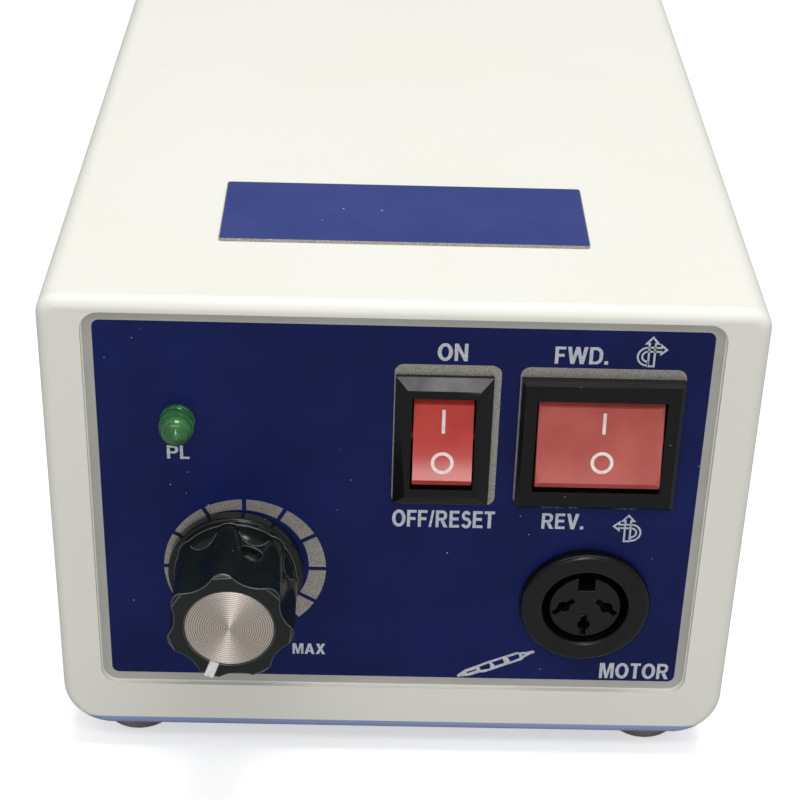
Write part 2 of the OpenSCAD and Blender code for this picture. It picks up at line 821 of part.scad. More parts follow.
knob_bore_slip = 0.03;
nut_room_r = 7;
nut_room_h = 5;
cap_t = 0.8;
cap_gap = 0.1;
set_screw_r = 1.75;
set_screw_h = 7.6;
pointer_w = 1.5;
pointer_deep = 0.4;
module speed_knob() {
  grip_h = knob_h - knob_lift;
  rim = 0.45;
  face_edge = 0.5;
  shoulder_in = 0.35;
  shoulder_at = knob_lobe_r - shoulder_in - knob_shoulder_r;
  color("#1B1E1F")
    facing_front(-knob_x, z_knob, panel_set - knob_lift)
      rotate(pointer_angle)
        difference() {
          union() {
            rotate_extrude() {
              square([knob_skirt_r - rim, knob_skirt_t]);
              square([knob_skirt_r, knob_skirt_t - rim]);
              translate([knob_skirt_r - rim, knob_skirt_t - rim]) circle(rim);
              intersection() {
                translate([shoulder_at, knob_skirt_t]) circle(knob_shoulder_r);
                square([knob_skirt_r, grip_h]);
              }
            }
            intersection() {
              linear_extrude(height = grip_h) knob_wave();
              rotate_extrude() {
                polygon([[0, 0], [knob_lobe_r + over, 0], [knob_lobe_r + over, grip_h - face_edge - over],
                         [knob_lobe_r - face_edge, grip_h], [0, grip_h]]);
              }
            }
          }
          translate([0, 0, -over]) cylinder(r = nut_room_r, h = nut_room_h + over);
          cylinder(r = shaft_r + knob_bore_slip, h = grip_h - shaft_in_knob + slip);
          translate([0, 0, grip_h - cap_t]) cylinder(r = knob_cap_r + cap_gap, h = cap_t + over);
          translate([knob_cap_r, -pointer_w / 2, grip_h - pointer_deep])
            cube([knob_lobe_r, pointer_w, pointer_deep + over]);
          translate([0, 0, set_screw_h])
            rotate([0, -90, 0]) cylinder(r = set_screw_r + slip, h = knob_lobe_r + over);
        }
}

module knob_cap() {
  dome = 0.15;
  color("#C9BFB8")
    facing_front(-knob_x, z_knob, panel_set - knob_h + cap_t)
      rotate_extrude()
        polygon([[0, 0], [knob_cap_r, 0], [knob_cap_r, cap_t - 2 * dome], [knob_cap_r - dome, cap_t - dome],
                 [0, cap_t]]);
}

module knob_set_screw() {
  screw_len = 4;
  hex_deep = 1.6;
  color("#8E9092")
    facing_front(-knob_x, z_knob, panel_set - knob_lift)
      rotate(pointer_angle)
        translate([-shaft_r, 0, set_screw_h])
          rotate([0, -90, 0])
            difference() {
              cylinder(r = set_screw_r, h = screw_len);
              translate([0, 0, screw_len - hex_deep])
                linear_extrude(height = hex_deep + over) hexagon(set_screw_r);
            }
}

// Motor socket: flanged shell, insulating core with a keyway, three sprung contacts and a ring nut
barrel_len = 12;
barrel_end_t = 1.5;
core_set = 0.5;
core_base_t = 2;
contact_r = 0.95;
contact_slot_l = 4.2;
contact_slot_w = 0.9;
keyway_w = 2.7;
keyway_in = 3.3;
contact_angles = [180, 270, 0];
contact_tilts = [40, 90, -40];
tail_room = 1.5;
socket_tail_r = socket_pin_circle_r + tail_room;
module motor_socket_shell() {
  lip = 1;
  color("#24272A")
    facing_front(socket_x, z_socket, panel_set)
      difference() {
        union() {
          translate([0, 0, -barrel_len]) cylinder(r = socket_barrel_r, h = barrel_len);
          rotate_extrude() {
            square([socket_flange_r - lip, socket_flange_t]);
            square([socket_flange_r, socket_flange_t - lip]);
            translate([socket_flange_r - lip, socket_flange_t - lip]) circle(lip);
          }
        }
        translate([0, 0, barrel_end_t - barrel_len])
          cylinder(r = socket_open_r, h = barrel_len + socket_flange_t);
        translate([0, 0, -barrel_len - over]) cylinder(r = socket_tail_r, h = barrel_len);
      }
}

module at_contacts() {
  for (i = [0 : 2])
    rotate(contact_angles[i]) translate([socket_pin_circle_r, 0, 0])
      rotate(contact_tilts[i] - contact_angles[i]) children();
}

module motor_socket_core() {
  core_back = barrel_end_t - barrel_len;
  core_front = socket_flange_t - core_set;
  color("#26292B")
    facing_front(socket_x, z_socket, panel_set)
      difference() {
        union() {
          translate([0, 0, core_back]) cylinder(r = socket_open_r - slip, h = core_base_t);
          translate([0, 0, core_back]) cylinder(r = socket_core_r, h = core_front - core_back);
        }
        translate([-keyway_w / 2, keyway_in, core_back + core_base_t])
          cube([keyway_w, socket_core_r, core_front - core_back]);
        at_contacts() {
          translate([0, 0, core_back - over])
            cylinder(r = contact_r + slip, h = core_front - core_back + 2 * over);
          translate([-contact_slot_l / 2, -contact_slot_w / 2, core_back + core_base_t])
            cube([contact_slot_l, contact_slot_w, core_front - core_back]);
        }
      }
}

module motor_socket_contacts() {
  tail_len = 5;
  mouth_set = 3.5;
  core_back = barrel_end_t - barrel_len;
  contact_len = socket_flange_t - core_set - mouth_set - core_back;
  color("#C8A95A")
    facing_front(socket_x, z_socket, panel_set)
      at_contacts()
        difference() {
          union() {
            translate([0, 0, core_back]) cylinder(r = contact_r, h = contact_len);
            translate([0, 0, core_back - tail_len]) cylinder(r = contact_r * 0.6, h = tail_len);
          }
          translate([0, 0, core_back + core_base_t]) cylinder(r = contact_r * 0.7, h = contact_len);
        }
}

module motor_socket_nut() {
  socket_nut_t = 2.8;
  socket_nut_lap = 1.7;
  color("#2A2D30")
    front_slab(socket_x, z_socket, front_wall, front_wall + socket_nut_t)
      difference() {
        hexagon(2 * (socket_barrel_r + socket_nut_lap));
        circle(socket_barrel_r + slip);
      }
}

// Mains transformer: laminated core, winding on its bobbin, and a strap that screws to the base
leg_w = core_w / 3;
window_h = core_h * 0.6;
coil_play = 0.3;
module transformer_core() {
  color("#6E7074")
    translate([0, front_y + core_from + core_d / 2, z_split + core_h / 2])
      rotate([90, 0, 0])
        linear_extrude(height = core_d)
          difference() {
            square([core_w, core_h], center = true);
            for (sx = [-1, 1])
              translate([sx * leg_w * 0.75, 0]) square([leg_w / 2, window_h], center = true);
          }
}

module transformer_coil() {
  flange_t = 1.2;
  flange_r = 1.5;
  wind_in = 0.8;
  wind_r = 3;
  coil_h = window_h - 2 * coil_play;
  in_w = leg_w + 2 * coil_play;
  in_d = core_d + 2 * coil_play;
  out_w = 2 * leg_w - 2 * coil_play;
  out_d = core_d + 2 * coil_out;
  color("#C77F2E")
    translate([0, front_y + core_from, z_split + core_h / 2 - coil_h / 2])
      difference() {
        union() {
          linear_extrude(height = coil_h) rounded_rect(out_w - 2 * wind_in, out_d - 2 * wind_in, wind_r);
          for (z = [0, coil_h - flange_t])
            translate([0, 0, z]) linear_extrude(height = flange_t) rounded_rect(out_w, out_d, flange_r);
        }
        translate([-in_w / 2, -in_d / 2, -over]) cube([in_w, in_d, coil_h + 2 * over]);
      }
}

module transformer_strap() {
  strap_w = core_d * 0.6;
  z_foot = z_split + strap_post_h;
  leg_h = core_h - strap_post_h + strap_t;
  span = core_w / 2;
  color("#9A9DA1")
    difference() {
      union() {
        translate([-span - strap_t, front_y + core_from - strap_w / 2, z_split + core_h])
          cube([2 * (span + strap_t), strap_w, strap_t]);
        for (sx = [-1, 1]) {
          translate([sx > 0 ? span : -span - strap_t, front_y + core_from - strap_w / 2, z_foot])
            cube([strap_t, strap_w, leg_h]);
          translate([sx > 0 ? span : -span - strap_t - strap_foot, front_y + core_from - strap_w / 2, z_foot])
            cube([strap_t + strap_foot, strap_w, strap_t]);
        }
      }
      at_strap_holes()
        translate([0, 0, z_foot - over]) cylinder(r = strap_screw_r + screw_free, h = strap_t + 2 * over);
    }
}

strap_head_r = 3.2;
strap_head_h = 2;
blind_short = 0.6;
module transformer_screws() {
  color("#B9BBBE")
    at_strap_holes()
      translate([0, 0, z_split + strap_post_h + strap_t])
        cross_screw(strap_screw_r, strap_head_r, strap_head_h, strap_t + strap_post_h - blind_short);
}

// Regulator board on its pillars
board_t = 1.6;
z_board = z_split + pillar_h;
z_parts = z_board + board_t;
board_screw_r = pillar_hole_r;
board_head_r = 2.5;
board_head_h = 1.6;
module circuit_board() {
  color("#2F6B45")
    difference() {
      translate([-board_w / 2, front_y + board_from, z_board]) cube([board_w, board_d, board_t]);
      at_board_holes()
        translate([0, 0, z_board - over]) cylinder(r = board_screw_r + screw_free, h = board_t + 2 * over);
    }
}

module board_screws() {
  color("#B9BBBE")
    at_board_holes()
      translate([0, 0, z_parts])
        cross_screw(board_screw_r, board_head_r, board_head_h, board_t + pillar_h - blind_short);
}

// Places on the board, as shares of its width from the middle and of its depth from the front edge
module on_board(u, v) {
  translate([u * board_w, front_y + board_from + v * board_d, z_parts]) children();
}

capacitor_r = 8;
capacitor_h = 26;
crimp_h = 2.2;
crimp_w = 1;
crimp_in = 0.5;
module filter_capacitors() {
  color("#2B3A63")
    for (u = [-0.33, -0.11])
      on_board(u, 0.38)
        rotate_extrude() {
          square([capacitor_r - crimp_in, capacitor_h]);
          square([capacitor_r, crimp_h]);
          translate([0, crimp_h + crimp_w]) square([capacitor_r, capacitor_h - crimp_h - crimp_w]);
        }
}

bridge_w = 20;
bridge_t = 5.2;
bridge_h = 16;
bridge_hole_r = 1.6;
module bridge_rectifier() {
  color("#202224")
    on_board(-0.23, 0.78)
      difference() {
        translate([-bridge_w / 2, -bridge_t / 2, 0]) cube([bridge_w, bridge_t, bridge_h]);
        translate([0, 0, bridge_h * 0.7])
          rotate([90, 0, 0]) cylinder(r = bridge_hole_r, h = 2 * bridge_t, center = true);
      }
}

sink_w = 36;
sink_h = 26;
sink_plate = 3;
sink_fin = 14;
sink_fin_t = 1.4;
sink_fins = 7;
sink_u = 0.22;
sink_v = 0.37;
module heat_sink() {
  step = (sink_w - sink_fin_t) / (sink_fins - 1);
  color("#3A3D40")
    on_board(sink_u, sink_v) {
      translate([-sink_w / 2, 0, 0]) cube([sink_w, sink_plate, sink_h]);
      for (i = [0 : sink_fins - 1])
        translate([-sink_w / 2 + i * step, sink_plate, 0]) cube([sink_fin_t, sink_fin, sink_h]);
    }
}

transistor_w = 10;
transistor_t = 4.4;
transistor_h = 10;
transistor_lift = 3;
tab_t = 1.3;
tab_h = 7;
tab_hole_r = 1.8;
leg_pitch = 2.54;
pin_w = 0.8;
pin_t = 0.5;
module power_transistor() {
  z_tab = transistor_lift + transistor_h;
  color("#2A2C2E")
    on_board(sink_u, sink_v)
      difference() {
        union() {
          translate([-transistor_w / 2, -tab_t, transistor_lift])
            cube([transistor_w, tab_t, transistor_h + tab_h]);
          translate([-transistor_w / 2, -transistor_t, transistor_lift])
            cube([transistor_w, transistor_t, transistor_h]);
          for (i = [-1, 0, 1])
            translate([i * leg_pitch - pin_w / 2, -transistor_t / 2 - pin_t / 2, 0])
              cube([pin_w, pin_t, transistor_lift]);
        }
        translate([0, 0, z_tab + tab_h / 2])
          rotate([90, 0, 0]) cylinder(r = tab_hole_r, h = 2 * transistor_t, center = true);
      }
}

header_d = 5.8;
header_h = 7;
header_t = 0.8;
header_floor = 1.5;
headers = [[-0.32, 10], [-0.08, 14], [0.18, 10]];
module board_connectors() {
  color("#E6E2D2")
    for (p = headers)
      on_board(p[0], 0.1)
        difference() {
          translate([-p[1] / 2, -header_d / 2, 0]) cube([p[1], header_d, header_h]);
          translate([header_t - p[1] / 2, header_t - header_d / 2, header_floor])
            cube([p[1] - 2 * header_t, header_d - 2 * header_t, header_h]);
        }
}

// Cord gland: threaded body through the back wall, lock nut inside and domed nut outside
gland_lap = 3;
gland_flange_r = gland_thread_r + gland_lap;
gland_flange_t = 4;
gland_in = 7;
gland_nose_t = 1.9;
gland_nose_r = gland_bore_r + gland_nose_t;
dome_t = 1;
dome_r = 3;
dome_play = 0.6;
lock_nut_t = 3.5;
lock_nut_lap = 1.7;
module cord_gland() {
  color("#2B2E30")
    facing_back(back_x, z_low, body_d)
      difference() {
        union() {
          translate([0, 0, -wall - gland_in]) cylinder(r = gland_thread_r, h = wall + gland_in);
          linear_extrude(height = gland_flange_t) hexagon(2 * gland_flange_r * cos(30));
          cylinder(r = gland_nose_r, h = gland_out - dome_t);
        }
        translate([0, 0, -wall - gland_in - over])
          cylinder(r = gland_bore_r, h = wall + gland_in + gland_out + 2 * over);
      }
}

module gland_dome_nut() {
  nut_r = gland_flange_r - dome_play;
  nut_h = gland_out - gland_flange_t;
  color("#303335")
    facing_back(back_x, z_low, body_d + gland_flange_t)
      difference() {
        rotate_extrude() {
          square([nut_r, nut_h - dome_r]);
          square([nut_r - dome_r, nut_h]);
          translate([nut_r - dome_r, nut_h - dome_r]) circle(dome_r);
        }
        translate([0, 0, -over]) cylinder(r = gland_nose_r + slip, h = nut_h - dome_t + over);
        cylinder(r = gland_bore_r + dome_play, h = nut_h + over);
      }
}

module gland_lock_nut() {
  color("#303335")
    facing_back(back_x, z_low, back_in - lock_nut_t)
      linear_extrude(height = lock_nut_t)
        difference() {
          hexagon(2 * (gland_thread_r + lock_nut_lap));
          circle(gland_thread_r + slip);
        }
}

// Fuse holder: body through the back wall, ring nut inside, and a cap that carries the fuse
fuse_len = 20;
fuse_r = 2.6;
fuse_glass_in = 0.15;
ferrule_len = 5;
fuse_play = 1;
fuse_bore_r = fuse_r + fuse_play;
fuse_lap = 1.6;
fuse_flange_r = fuse_body_r + fuse_lap;
fuse_flange_t = 2;
fuse_body_len = 30;
fuse_nut_t = 3;
fuse_nut_lap = 2;
cap_stem_gap = 0.2;
cap_stem_r = fuse_bore_r - cap_stem_gap;
cap_stem_len = 5;
cap_knob_r = 6;
cap_knob_h = 7;
cap_slot_w = 1.4;
cap_slot_deep = 1.5;
grip_r = 0.8;
grip_out = 0.35;
grip_from = 1.2;
grips = 12;
module fuse_holder() {
  color("#26292B")
    facing_back(back_x, z_high, body_d)
      difference() {
        union() {
          translate([0, 0, -wall - fuse_body_len]) cylinder(r = fuse_body_r, h = wall + fuse_body_len);
          cylinder(r = fuse_flange_r, h = fuse_flange_t);
        }
        translate([0, 0, fuse_flange_t - cap_stem_len - fuse_len - gap])
          cylinder(r = fuse_bore_r, h = fuse_len + cap_stem_len + gap + over);
      }
}

module fuse_holder_nut() {
  color("#26292B")
    facing_back(back_x, z_high, back_in - fuse_nut_t)
      linear_extrude(height = fuse_nut_t)
        difference() {
          hexagon(2 * (fuse_body_r + fuse_nut_lap));
          circle(fuse_body_r + slip);
        }
}

module fuse_cap() {
  color("#1F2224")
    facing_back(back_x, z_high, body_d + fuse_flange_t)
      difference() {
        union() {
          translate([0, 0, slip]) cylinder(r = cap_knob_r, h = cap_knob_h - slip);
          translate([0, 0, -cap_stem_len]) cylinder(r = cap_stem_r, h = cap_stem_len + slip);
        }
        translate([-cap_knob_r - over, -cap_slot_w / 2, cap_knob_h - cap_slot_deep])
          cube([2 * (cap_knob_r + over), cap_slot_w, cap_slot_deep + over]);
        for (i = [0 : grips - 1])
          rotate((i + 0.5) * 360 / grips)
            translate([cap_knob_r + grip_out, 0, grip_from]) cylinder(r = grip_r, h = cap_knob_h);
      }
}

module fuse_link() {
  color("#D6D2C4")
    facing_back(back_x, z_high, body_d + fuse_flange_t - cap_stem_len - fuse_len) {
      cylinder(r = fuse_r - fuse_glass_in, h = fuse_len);
      for (z = [0, fuse_len - ferrule_len])
        translate([0, 0, z]) cylinder(r = fuse_r, h = ferrule_len);
    }
}

// Foot pedal jack: bush and body in one piece, with a nut outside
jack_body_w = 16;
jack_body_h = 18;
jack_body_len = 24;
jack_nut_t = 2.5;
jack_bush_out = 4;
jack_nut_lap = 2;
jack_end_t = 2;
module pedal_jack() {
  color("#2B2E30")
    facing_back(-back_x, z_high, body_d)
      difference() {
        union() {
          translate([-jack_body_w / 2, -jack_body_h / 2, -wall - jack_body_len])
            cube([jack_body_w, jack_body_h, jack_body_len]);
          translate([0, 0, -wall - over]) cylinder(r = jack_bush_r, h = wall + over + jack_bush_out);
        }
        translate([0, 0, jack_end_t - wall - jack_body_len])
          cylinder(r = jack_bore_r, h = jack_body_len + wall + jack_bush_out + over);
      }
}

module pedal_jack_nut() {
  color("#C2C4C6")
    facing_back(-back_x, z_high, body_d)
      linear_extrude(height = jack_nut_t)
        difference() {
          hexagon(2 * (jack_bush_r + jack_nut_lap));
          circle(jack_bush_r + slip);
        }
}

// Hand or pedal selector: a slide switch screwed behind a slot in the back wall
selector_w = 19;
selector_h = 7;
selector_t = 6;
ear_w = 5;
ear_t = 1;
slider_track = 2.5;
slider_out = 2.4;
selector_bolt_r = 1.2;
selector_head_r = 2.2;
selector_head_h = 1.4;
selector_bolt_x = selector_w / 2 + ear_w / 2;
module selector_body() {
  color("#8E9194")
    facing_back(-back_x, z_low, back_in)
      difference() {
        union() {
          translate([-selector_w / 2, -selector_h / 2, -selector_t])
            cube([selector_w, selector_h, selector_t]);
          translate([-selector_w / 2 - ear_w, -selector_h / 2, -ear_t])
            cube([selector_w + 2 * ear_w, selector_h, ear_t]);
        }
        translate([-(slider_w + selector_travel) / 2 - gap, -selector_slot_h / 2, -slider_track])
          cube([slider_w + selector_travel + 2 * gap, selector_slot_h, slider_track + over]);
        for (sx = [-1, 1])
          translate([sx * selector_bolt_x, 0, -ear_t - over])
            cylinder(r = selector_bolt_r + slip, h = ear_t + 2 * over);
      }
}

module selector_screws() {
  color("#B9BBBE")
    for (sx = [-1, 1])
      facing_back(sx * selector_bolt_x - back_x, z_low, body_d)
        cross_screw(selector_bolt_r, selector_head_r, selector_head_h, wall + ear_t);
}

module selector_slider() {
  slider_h = selector_slot_h - 2 * slip;
  ribs = 3;
  rib_pitch = 1.6;
  rib_cut = 0.5;
  color("#1F2224")
    facing_back(-back_x - selector_travel / 2, z_low, back_in)
      difference() {
        translate([-slider_w / 2, -slider_h / 2, slip - slider_track])
          cube([slider_w, slider_h, slider_track - slip + wall + slider_out]);
        for (i = [0 : ribs - 1])
          translate([(i - (ribs - 1) / 2) * rib_pitch - rib_cut / 2, -slider_h, wall + slider_out - rib_cut])
            cube([rib_cut, 2 * slider_h, rib_cut + over]);
      }
}

cover();
base_tray();
rubber_feet();
case_screws();
front_panel();
top_plate();
pilot_lamp();
lamp_leads();
power_switch_housing();
power_switch_terminals();
power_rocker();
direction_switch_housing();
direction_switch_terminals();
direction_rocker();
speed_pot();
pot_terminals();
pot_washer();
pot_nut();
pot_shaft();
speed_knob();
knob_cap();
knob_set_screw();
motor_socket_shell();
motor_socket_core();
motor_socket_contacts();
motor_socket_nut();
transformer_core();
transformer_coil();
transformer_strap();
transformer_screws();
circuit_board();
board_screws();
filter_capacitors();
bridge_rectifier();
heat_sink();
power_transistor();
board_connectors();
cord_gland();
gland_dome_nut();
gland_lock_nut();
fuse_holder();
fuse_holder_nut();
fuse_cap();
fuse_link();
pedal_jack();
pedal_jack_nut();
selector_body();
selector_screws();
selector_slider();
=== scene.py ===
"""Looks of a dental lab micromotor control unit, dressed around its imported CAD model.

Metres, +Z up, the front panel faces -Y. The case, switches, knob, socket and back fittings are the CAD nodes with
softened edges. Made here: the prints on the front and top plates, the marks on the rockers, and the knob's turned cap
and painted pointer.
"""

import json
import math

import bmesh
import bpy
from mathutils import Matrix, Vector


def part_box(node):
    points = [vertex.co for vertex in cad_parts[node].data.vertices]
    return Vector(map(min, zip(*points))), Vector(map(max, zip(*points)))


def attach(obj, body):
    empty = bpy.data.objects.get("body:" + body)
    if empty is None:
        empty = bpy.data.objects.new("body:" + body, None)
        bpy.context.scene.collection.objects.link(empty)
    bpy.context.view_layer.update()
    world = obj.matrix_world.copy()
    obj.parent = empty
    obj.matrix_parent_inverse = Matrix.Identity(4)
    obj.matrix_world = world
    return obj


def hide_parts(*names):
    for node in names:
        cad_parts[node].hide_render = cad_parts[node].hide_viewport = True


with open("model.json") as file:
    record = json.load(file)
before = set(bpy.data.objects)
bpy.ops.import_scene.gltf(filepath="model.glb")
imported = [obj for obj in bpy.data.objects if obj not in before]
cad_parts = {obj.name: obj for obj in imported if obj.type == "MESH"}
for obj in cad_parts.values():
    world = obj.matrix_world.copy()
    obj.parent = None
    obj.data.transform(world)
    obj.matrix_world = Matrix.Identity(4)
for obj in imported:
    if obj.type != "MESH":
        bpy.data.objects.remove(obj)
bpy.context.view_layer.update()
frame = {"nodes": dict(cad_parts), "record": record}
NODES = frame["nodes"]
MM = 0.001

# ---------------------------------------------------------------------------------------------------------------------
# Sizes of the pieces made here, in millimetres. Places on the front are (right of the middle, above the table).
# ---------------------------------------------------------------------------------------------------------------------

# The panel's ink, the prints on it, and a grey band, which reaches past the panel over the ledge
PANEL_FACE = -81.5
INK_T = 0.03
PRINT_T = 0.055
INK_BORDER = 0.3
INK_CORNER_R = 1.2
MARGIN_OUT = 1.2
MARGIN_CORNER_R = 2.6
# How far the ink runs under what sits on the panel
SEAT_LAP = 0.5
SEAT_CORNER_R = 0.3
LAMP_FLANGE = 0.4

SWITCH_FRAMES = {"power": ((-1.3, 50.2), (15.0, 75.5)), "direction": ((17.9, 50.3), (43.2, 75.4))}
SWITCH_FRAME_R = 1.5

# Speed scale: outer radius, angles in degrees from its thin end to its wide end, gap between steps, band's width
SCALE_CENTRE = (-24.5, 37.3)
SCALE_R = 13.02
SCALE_FROM, SCALE_TO = 232, -50
SCALE_FIRST_CUT = 180
SCALE_STEP = 30
SCALE_GAP = 0.7
SCALE_W_FROM, SCALE_W_TO = 0.7, 3.2
SCALE_POINTS = 12

# Word, centre, width and height of its letters
WORDS = (
    ("ON", (7.4, 77.7), 4.6, 3.0),
    ("OFF/RESET", (7.1, 47.4), 16.3, 3.2),
    ("FWD.", (26.9, 77.6), 8.1, 2.95),
    ("REV.", (26.1, 47.4), 6.7, 2.95),
    ("MAX", (-14.2, 21.0), 5.4, 2.15),
    ("MOTOR", (40.1, 17.6), 11.6, 3.2),
    ("PL", (-34.6, 58.9), 3.5, 2.4),
)
LETTER_SPACE = 0.1

FORWARD_SIGN = (37.4, 78.4)
REVERSE_SIGN = (36.6, 46.2)
SIGN_LINE = 0.3
HANDPIECE_TIP = (10.6, 15.9)
HANDPIECE_END = (23.2, 21.3)

# Rockers: pivot (front to back, up), swing in degrees, radius of the hollow face, pivot's depth under its valley
ROCKER_PIVOT = (-79.927, 62.2)
ROCKER_SWING = 22
ROCKER_FACE_R = 41.403
ROCKER_VALLEY = 3.6
MARK_LIFT = 0.03
MARK_LINE = 0.52
MARK_O_R = 1.77
STROKE_STEPS = 8
RING_STEPS = 48
# Piece: body, rocker, place across, then up along the face: the stroke's two ends and the ring's middle
ROCKER_MARKS = {
    "power_marks": ("power_lever", "power_rocker", 6.4, (1.45, 5.45), -3.4),
    "direction_marks": ("direction_lever", "direction_rocker", 31.1, (1.85, 5.4), -2.85),
}

KNOB_AXIS = (-25.9, 37.6)
KNOB_FACE = -98.5
CAP_R = 6.9
CAP_T = 0.8
CAP_SUNK = 0.02
CAP_RINGS = 19
CAP_RING_DEEP = 0.1
CAP_RIM = 0.2
CAP_PITCH = (CAP_R - CAP_RIM) / CAP_RINGS
CAP_GROOVE_AT = 0.8
# One ring across: share of its pitch, and share of the groove's depth
CAP_RING_PROFILE = ((0.2, 0), (0.6, 0.1), (CAP_GROOVE_AT, 1), (1.0, 0.1))
# Rounded edge of the cap: radius and height
CAP_EDGE = ((CAP_R - 0.06, -0.08), (CAP_R, -0.2), (CAP_R, 0.05 - CAP_T))
CAP_SIDES = 120
POINTER_ANGLE = -110
POINTER_W = 1.45
POINTER_FROM, POINTER_TO = 7.02, 9.95
POINTER_DEEP = 0.38

TOP_PLATE_EDGE = 0.14
TOP_PLATE_CORNER_R = 0.4

# ---------------------------------------------------------------------------------------------------------------------
# Materials
# ---------------------------------------------------------------------------------------------------------------------


def linear(colour):
    """An sRGB hex colour as linear red, green, blue and alpha."""
    channels = [int(colour[i:i + 2], 16) / 255 for i in (1, 3, 5)]
    return (*[c / 12.92 if c <= 0.04045 else ((c + 0.055) / 1.055) ** 2.4 for c in channels], 1.0)


def per_mm(size):
    """Texture scale at which one feature of the pattern is size millimetres wide."""
    return 1.0 / (size * MM)


def wave_scale(repeat):
    """Scale at which the wave texture repeats every so many millimetres: at scale 1 it does so every pi / 10 metres."""
    return math.pi / 10 * per_mm(repeat)


def put(tree, kind, inputs=None, stops=None, **settings):
    """Adds a node: its settings, its sockets (a value, or another node's output to link) and a colour ramp's stops."""
    node = tree.nodes.new(kind)
    for name, value in settings.items():
        setattr(node, name, value)
    for socket, value in (inputs or {}).items():
        if isinstance(value, bpy.types.NodeSocket):
            tree.links.new(value, node.inputs[socket])
        else:
            node.inputs[socket].default_value = value
    for i, (at, colour) in enumerate(stops or ()):
        stop = node.color_ramp.elements[i] if i < 2 else node.color_ramp.elements.new(at)
        stop.position = at
        stop.color = linear(colour)
    return node


def finish_of(name, colour, roughness, metallic=0.0, **sockets):
    """A material of one Principled shader, with the tree and the shader that its surface detail is added to."""
    material = bpy.data.materials.new(name)
    material.use_nodes = True
    material.diffuse_color = linear(colour)
    tree = material.node_tree
    tree.nodes.clear()
    values = {"Base Color": linear(colour), "Roughness": roughness, "Metallic": metallic}
    values.update({socket.replace("_", " "): value for socket, value in sockets.items()})
    shader = put(tree, "ShaderNodeBsdfPrincipled", values)
    put(tree, "ShaderNodeOutputMaterial", {"Surface": shader.outputs["BSDF"]})
    return material, tree, shader


# Part of a noise pattern's range, which rarely leaves its middle, that two shades or two roughnesses are spread over
TONE_BAND = (0.36, 0.66)
SHEEN_BAND = (0.3, 0.7)


def where(tree, stretch=(1, 1, 1)):
    """Place on the piece in metres, squeezed along each axis to draw a pattern out."""
    place = put(tree, "ShaderNodeTexCoord")
    return put(tree, "ShaderNodeMapping", {"Vector": place.outputs["Object"], "Scale": stretch}).outputs["Vector"]


def tone(tree, shader, size, dark, light, stretch=(1, 1, 1), detail=3.0):
    """Slow shift of colour between two shades, in patches of that size. Returns the colour for more to go on it."""
    patches = put(tree, "ShaderNodeTexNoise", {"Vector": where(tree, stretch), "Scale": per_mm(size), "Detail": detail})
    ramp = put(tree, "ShaderNodeValToRGB", {"Fac": patches.outputs["Fac"]}, stops=zip(TONE_BAND, (dark, light)))
    tree.links.new(ramp.outputs["Color"], shader.inputs["Base Color"])
    return ramp.outputs["Color"]


def sheen_patches(tree, shader, size, low, high, stretch=(1, 1, 1)):
    """Roughness that wanders between two values, as handling and moulding leave it."""
    patches = put(tree, "ShaderNodeTexNoise", {"Vector": where(tree, stretch), "Scale": per_mm(size), "Detail": 4.0})
    spread = put(tree, "ShaderNodeMapRange", {"Value": patches.outputs["Fac"], "From Min": SHEEN_BAND[0],
                                              "From Max": SHEEN_BAND[1], "To Min": low, "To Max": high})
    tree.links.new(spread.outputs["Result"], shader.inputs["Roughness"])


def grain(tree, shader, size, deep, strength=0.5, stretch=(1, 1, 1)):
    """Relief of that grain size and depth, in millimetres."""
    height = put(tree, "ShaderNodeTexNoise", {"Vector": where(tree, stretch), "Scale": per_mm(size), "Detail": 2.0})
    bump = put(tree, "ShaderNodeBump", {"Height": height.outputs["Fac"], "Strength": strength, "Distance": deep * MM})
    tree.links.new(bump.outputs["Normal"], shader.inputs["Normal"])


def specks(tree, shader, colour, spacing, size, speck):
    """Loose dots on the colour so far: one per cell of that spacing, most of them too small to see."""
    cells = put(tree, "ShaderNodeTexVoronoi", {"Vector": where(tree), "Scale": per_mm(spacing)})
    limit = put(tree, "ShaderNodeMath", {0: cells.outputs["Color"], 1: size / spacing}, operation="MULTIPLY")
    inside = put(tree, "ShaderNodeMath", {0: cells.outputs["Distance"], 1: limit.outputs["Value"]},
                 operation="LESS_THAN")
    mix = put(tree, "ShaderNodeMix", {0: inside.outputs["Value"], 6: colour, 7: linear(speck)}, data_type="RGBA")
    tree.links.new(mix.outputs[2], shader.inputs["Base Color"])


def ivory_abs_moulded():
    # ABS from a fine spark-eroded mould: satin, a grain that shows only in grazing light, and a slight yellowing.
    material, tree, shader = finish_of("ivory_abs_moulded", "#EDECE3", 0.42, IOR=1.53)
    colour = tone(tree, shader, 45, "#EDECE3", "#EFEEE6")
    specks(tree, shader, colour, 14, 0.16, "#8C887C")
    sheen_patches(tree, shader, 12, 0.41, 0.45)
    grain(tree, shader, 0.6, 0.02, 0.35)
    return material


def blue_abs_moulded():
    # The same ABS coloured blue-violet: a little duller, as its mould was left rougher.
    material, tree, shader = finish_of("blue_abs_moulded", "#93A1D0", 0.46, IOR=1.53)
    tone(tree, shader, 30, "#909ECD", "#97A5D3")
    grain(tree, shader, 0.5, 0.02, 0.4)
    return material


def grey_rubber_moulded():
    # Filled rubber: matt, with a dusty bloom in patches.
    material, tree, shader = finish_of("grey_rubber_moulded", "#75716B", 0.75, IOR=1.52)
    tone(tree, shader, 3, "#6C6862", "#827D76")
    grain(tree, shader, 0.35, 0.03, 0.6)
    return material


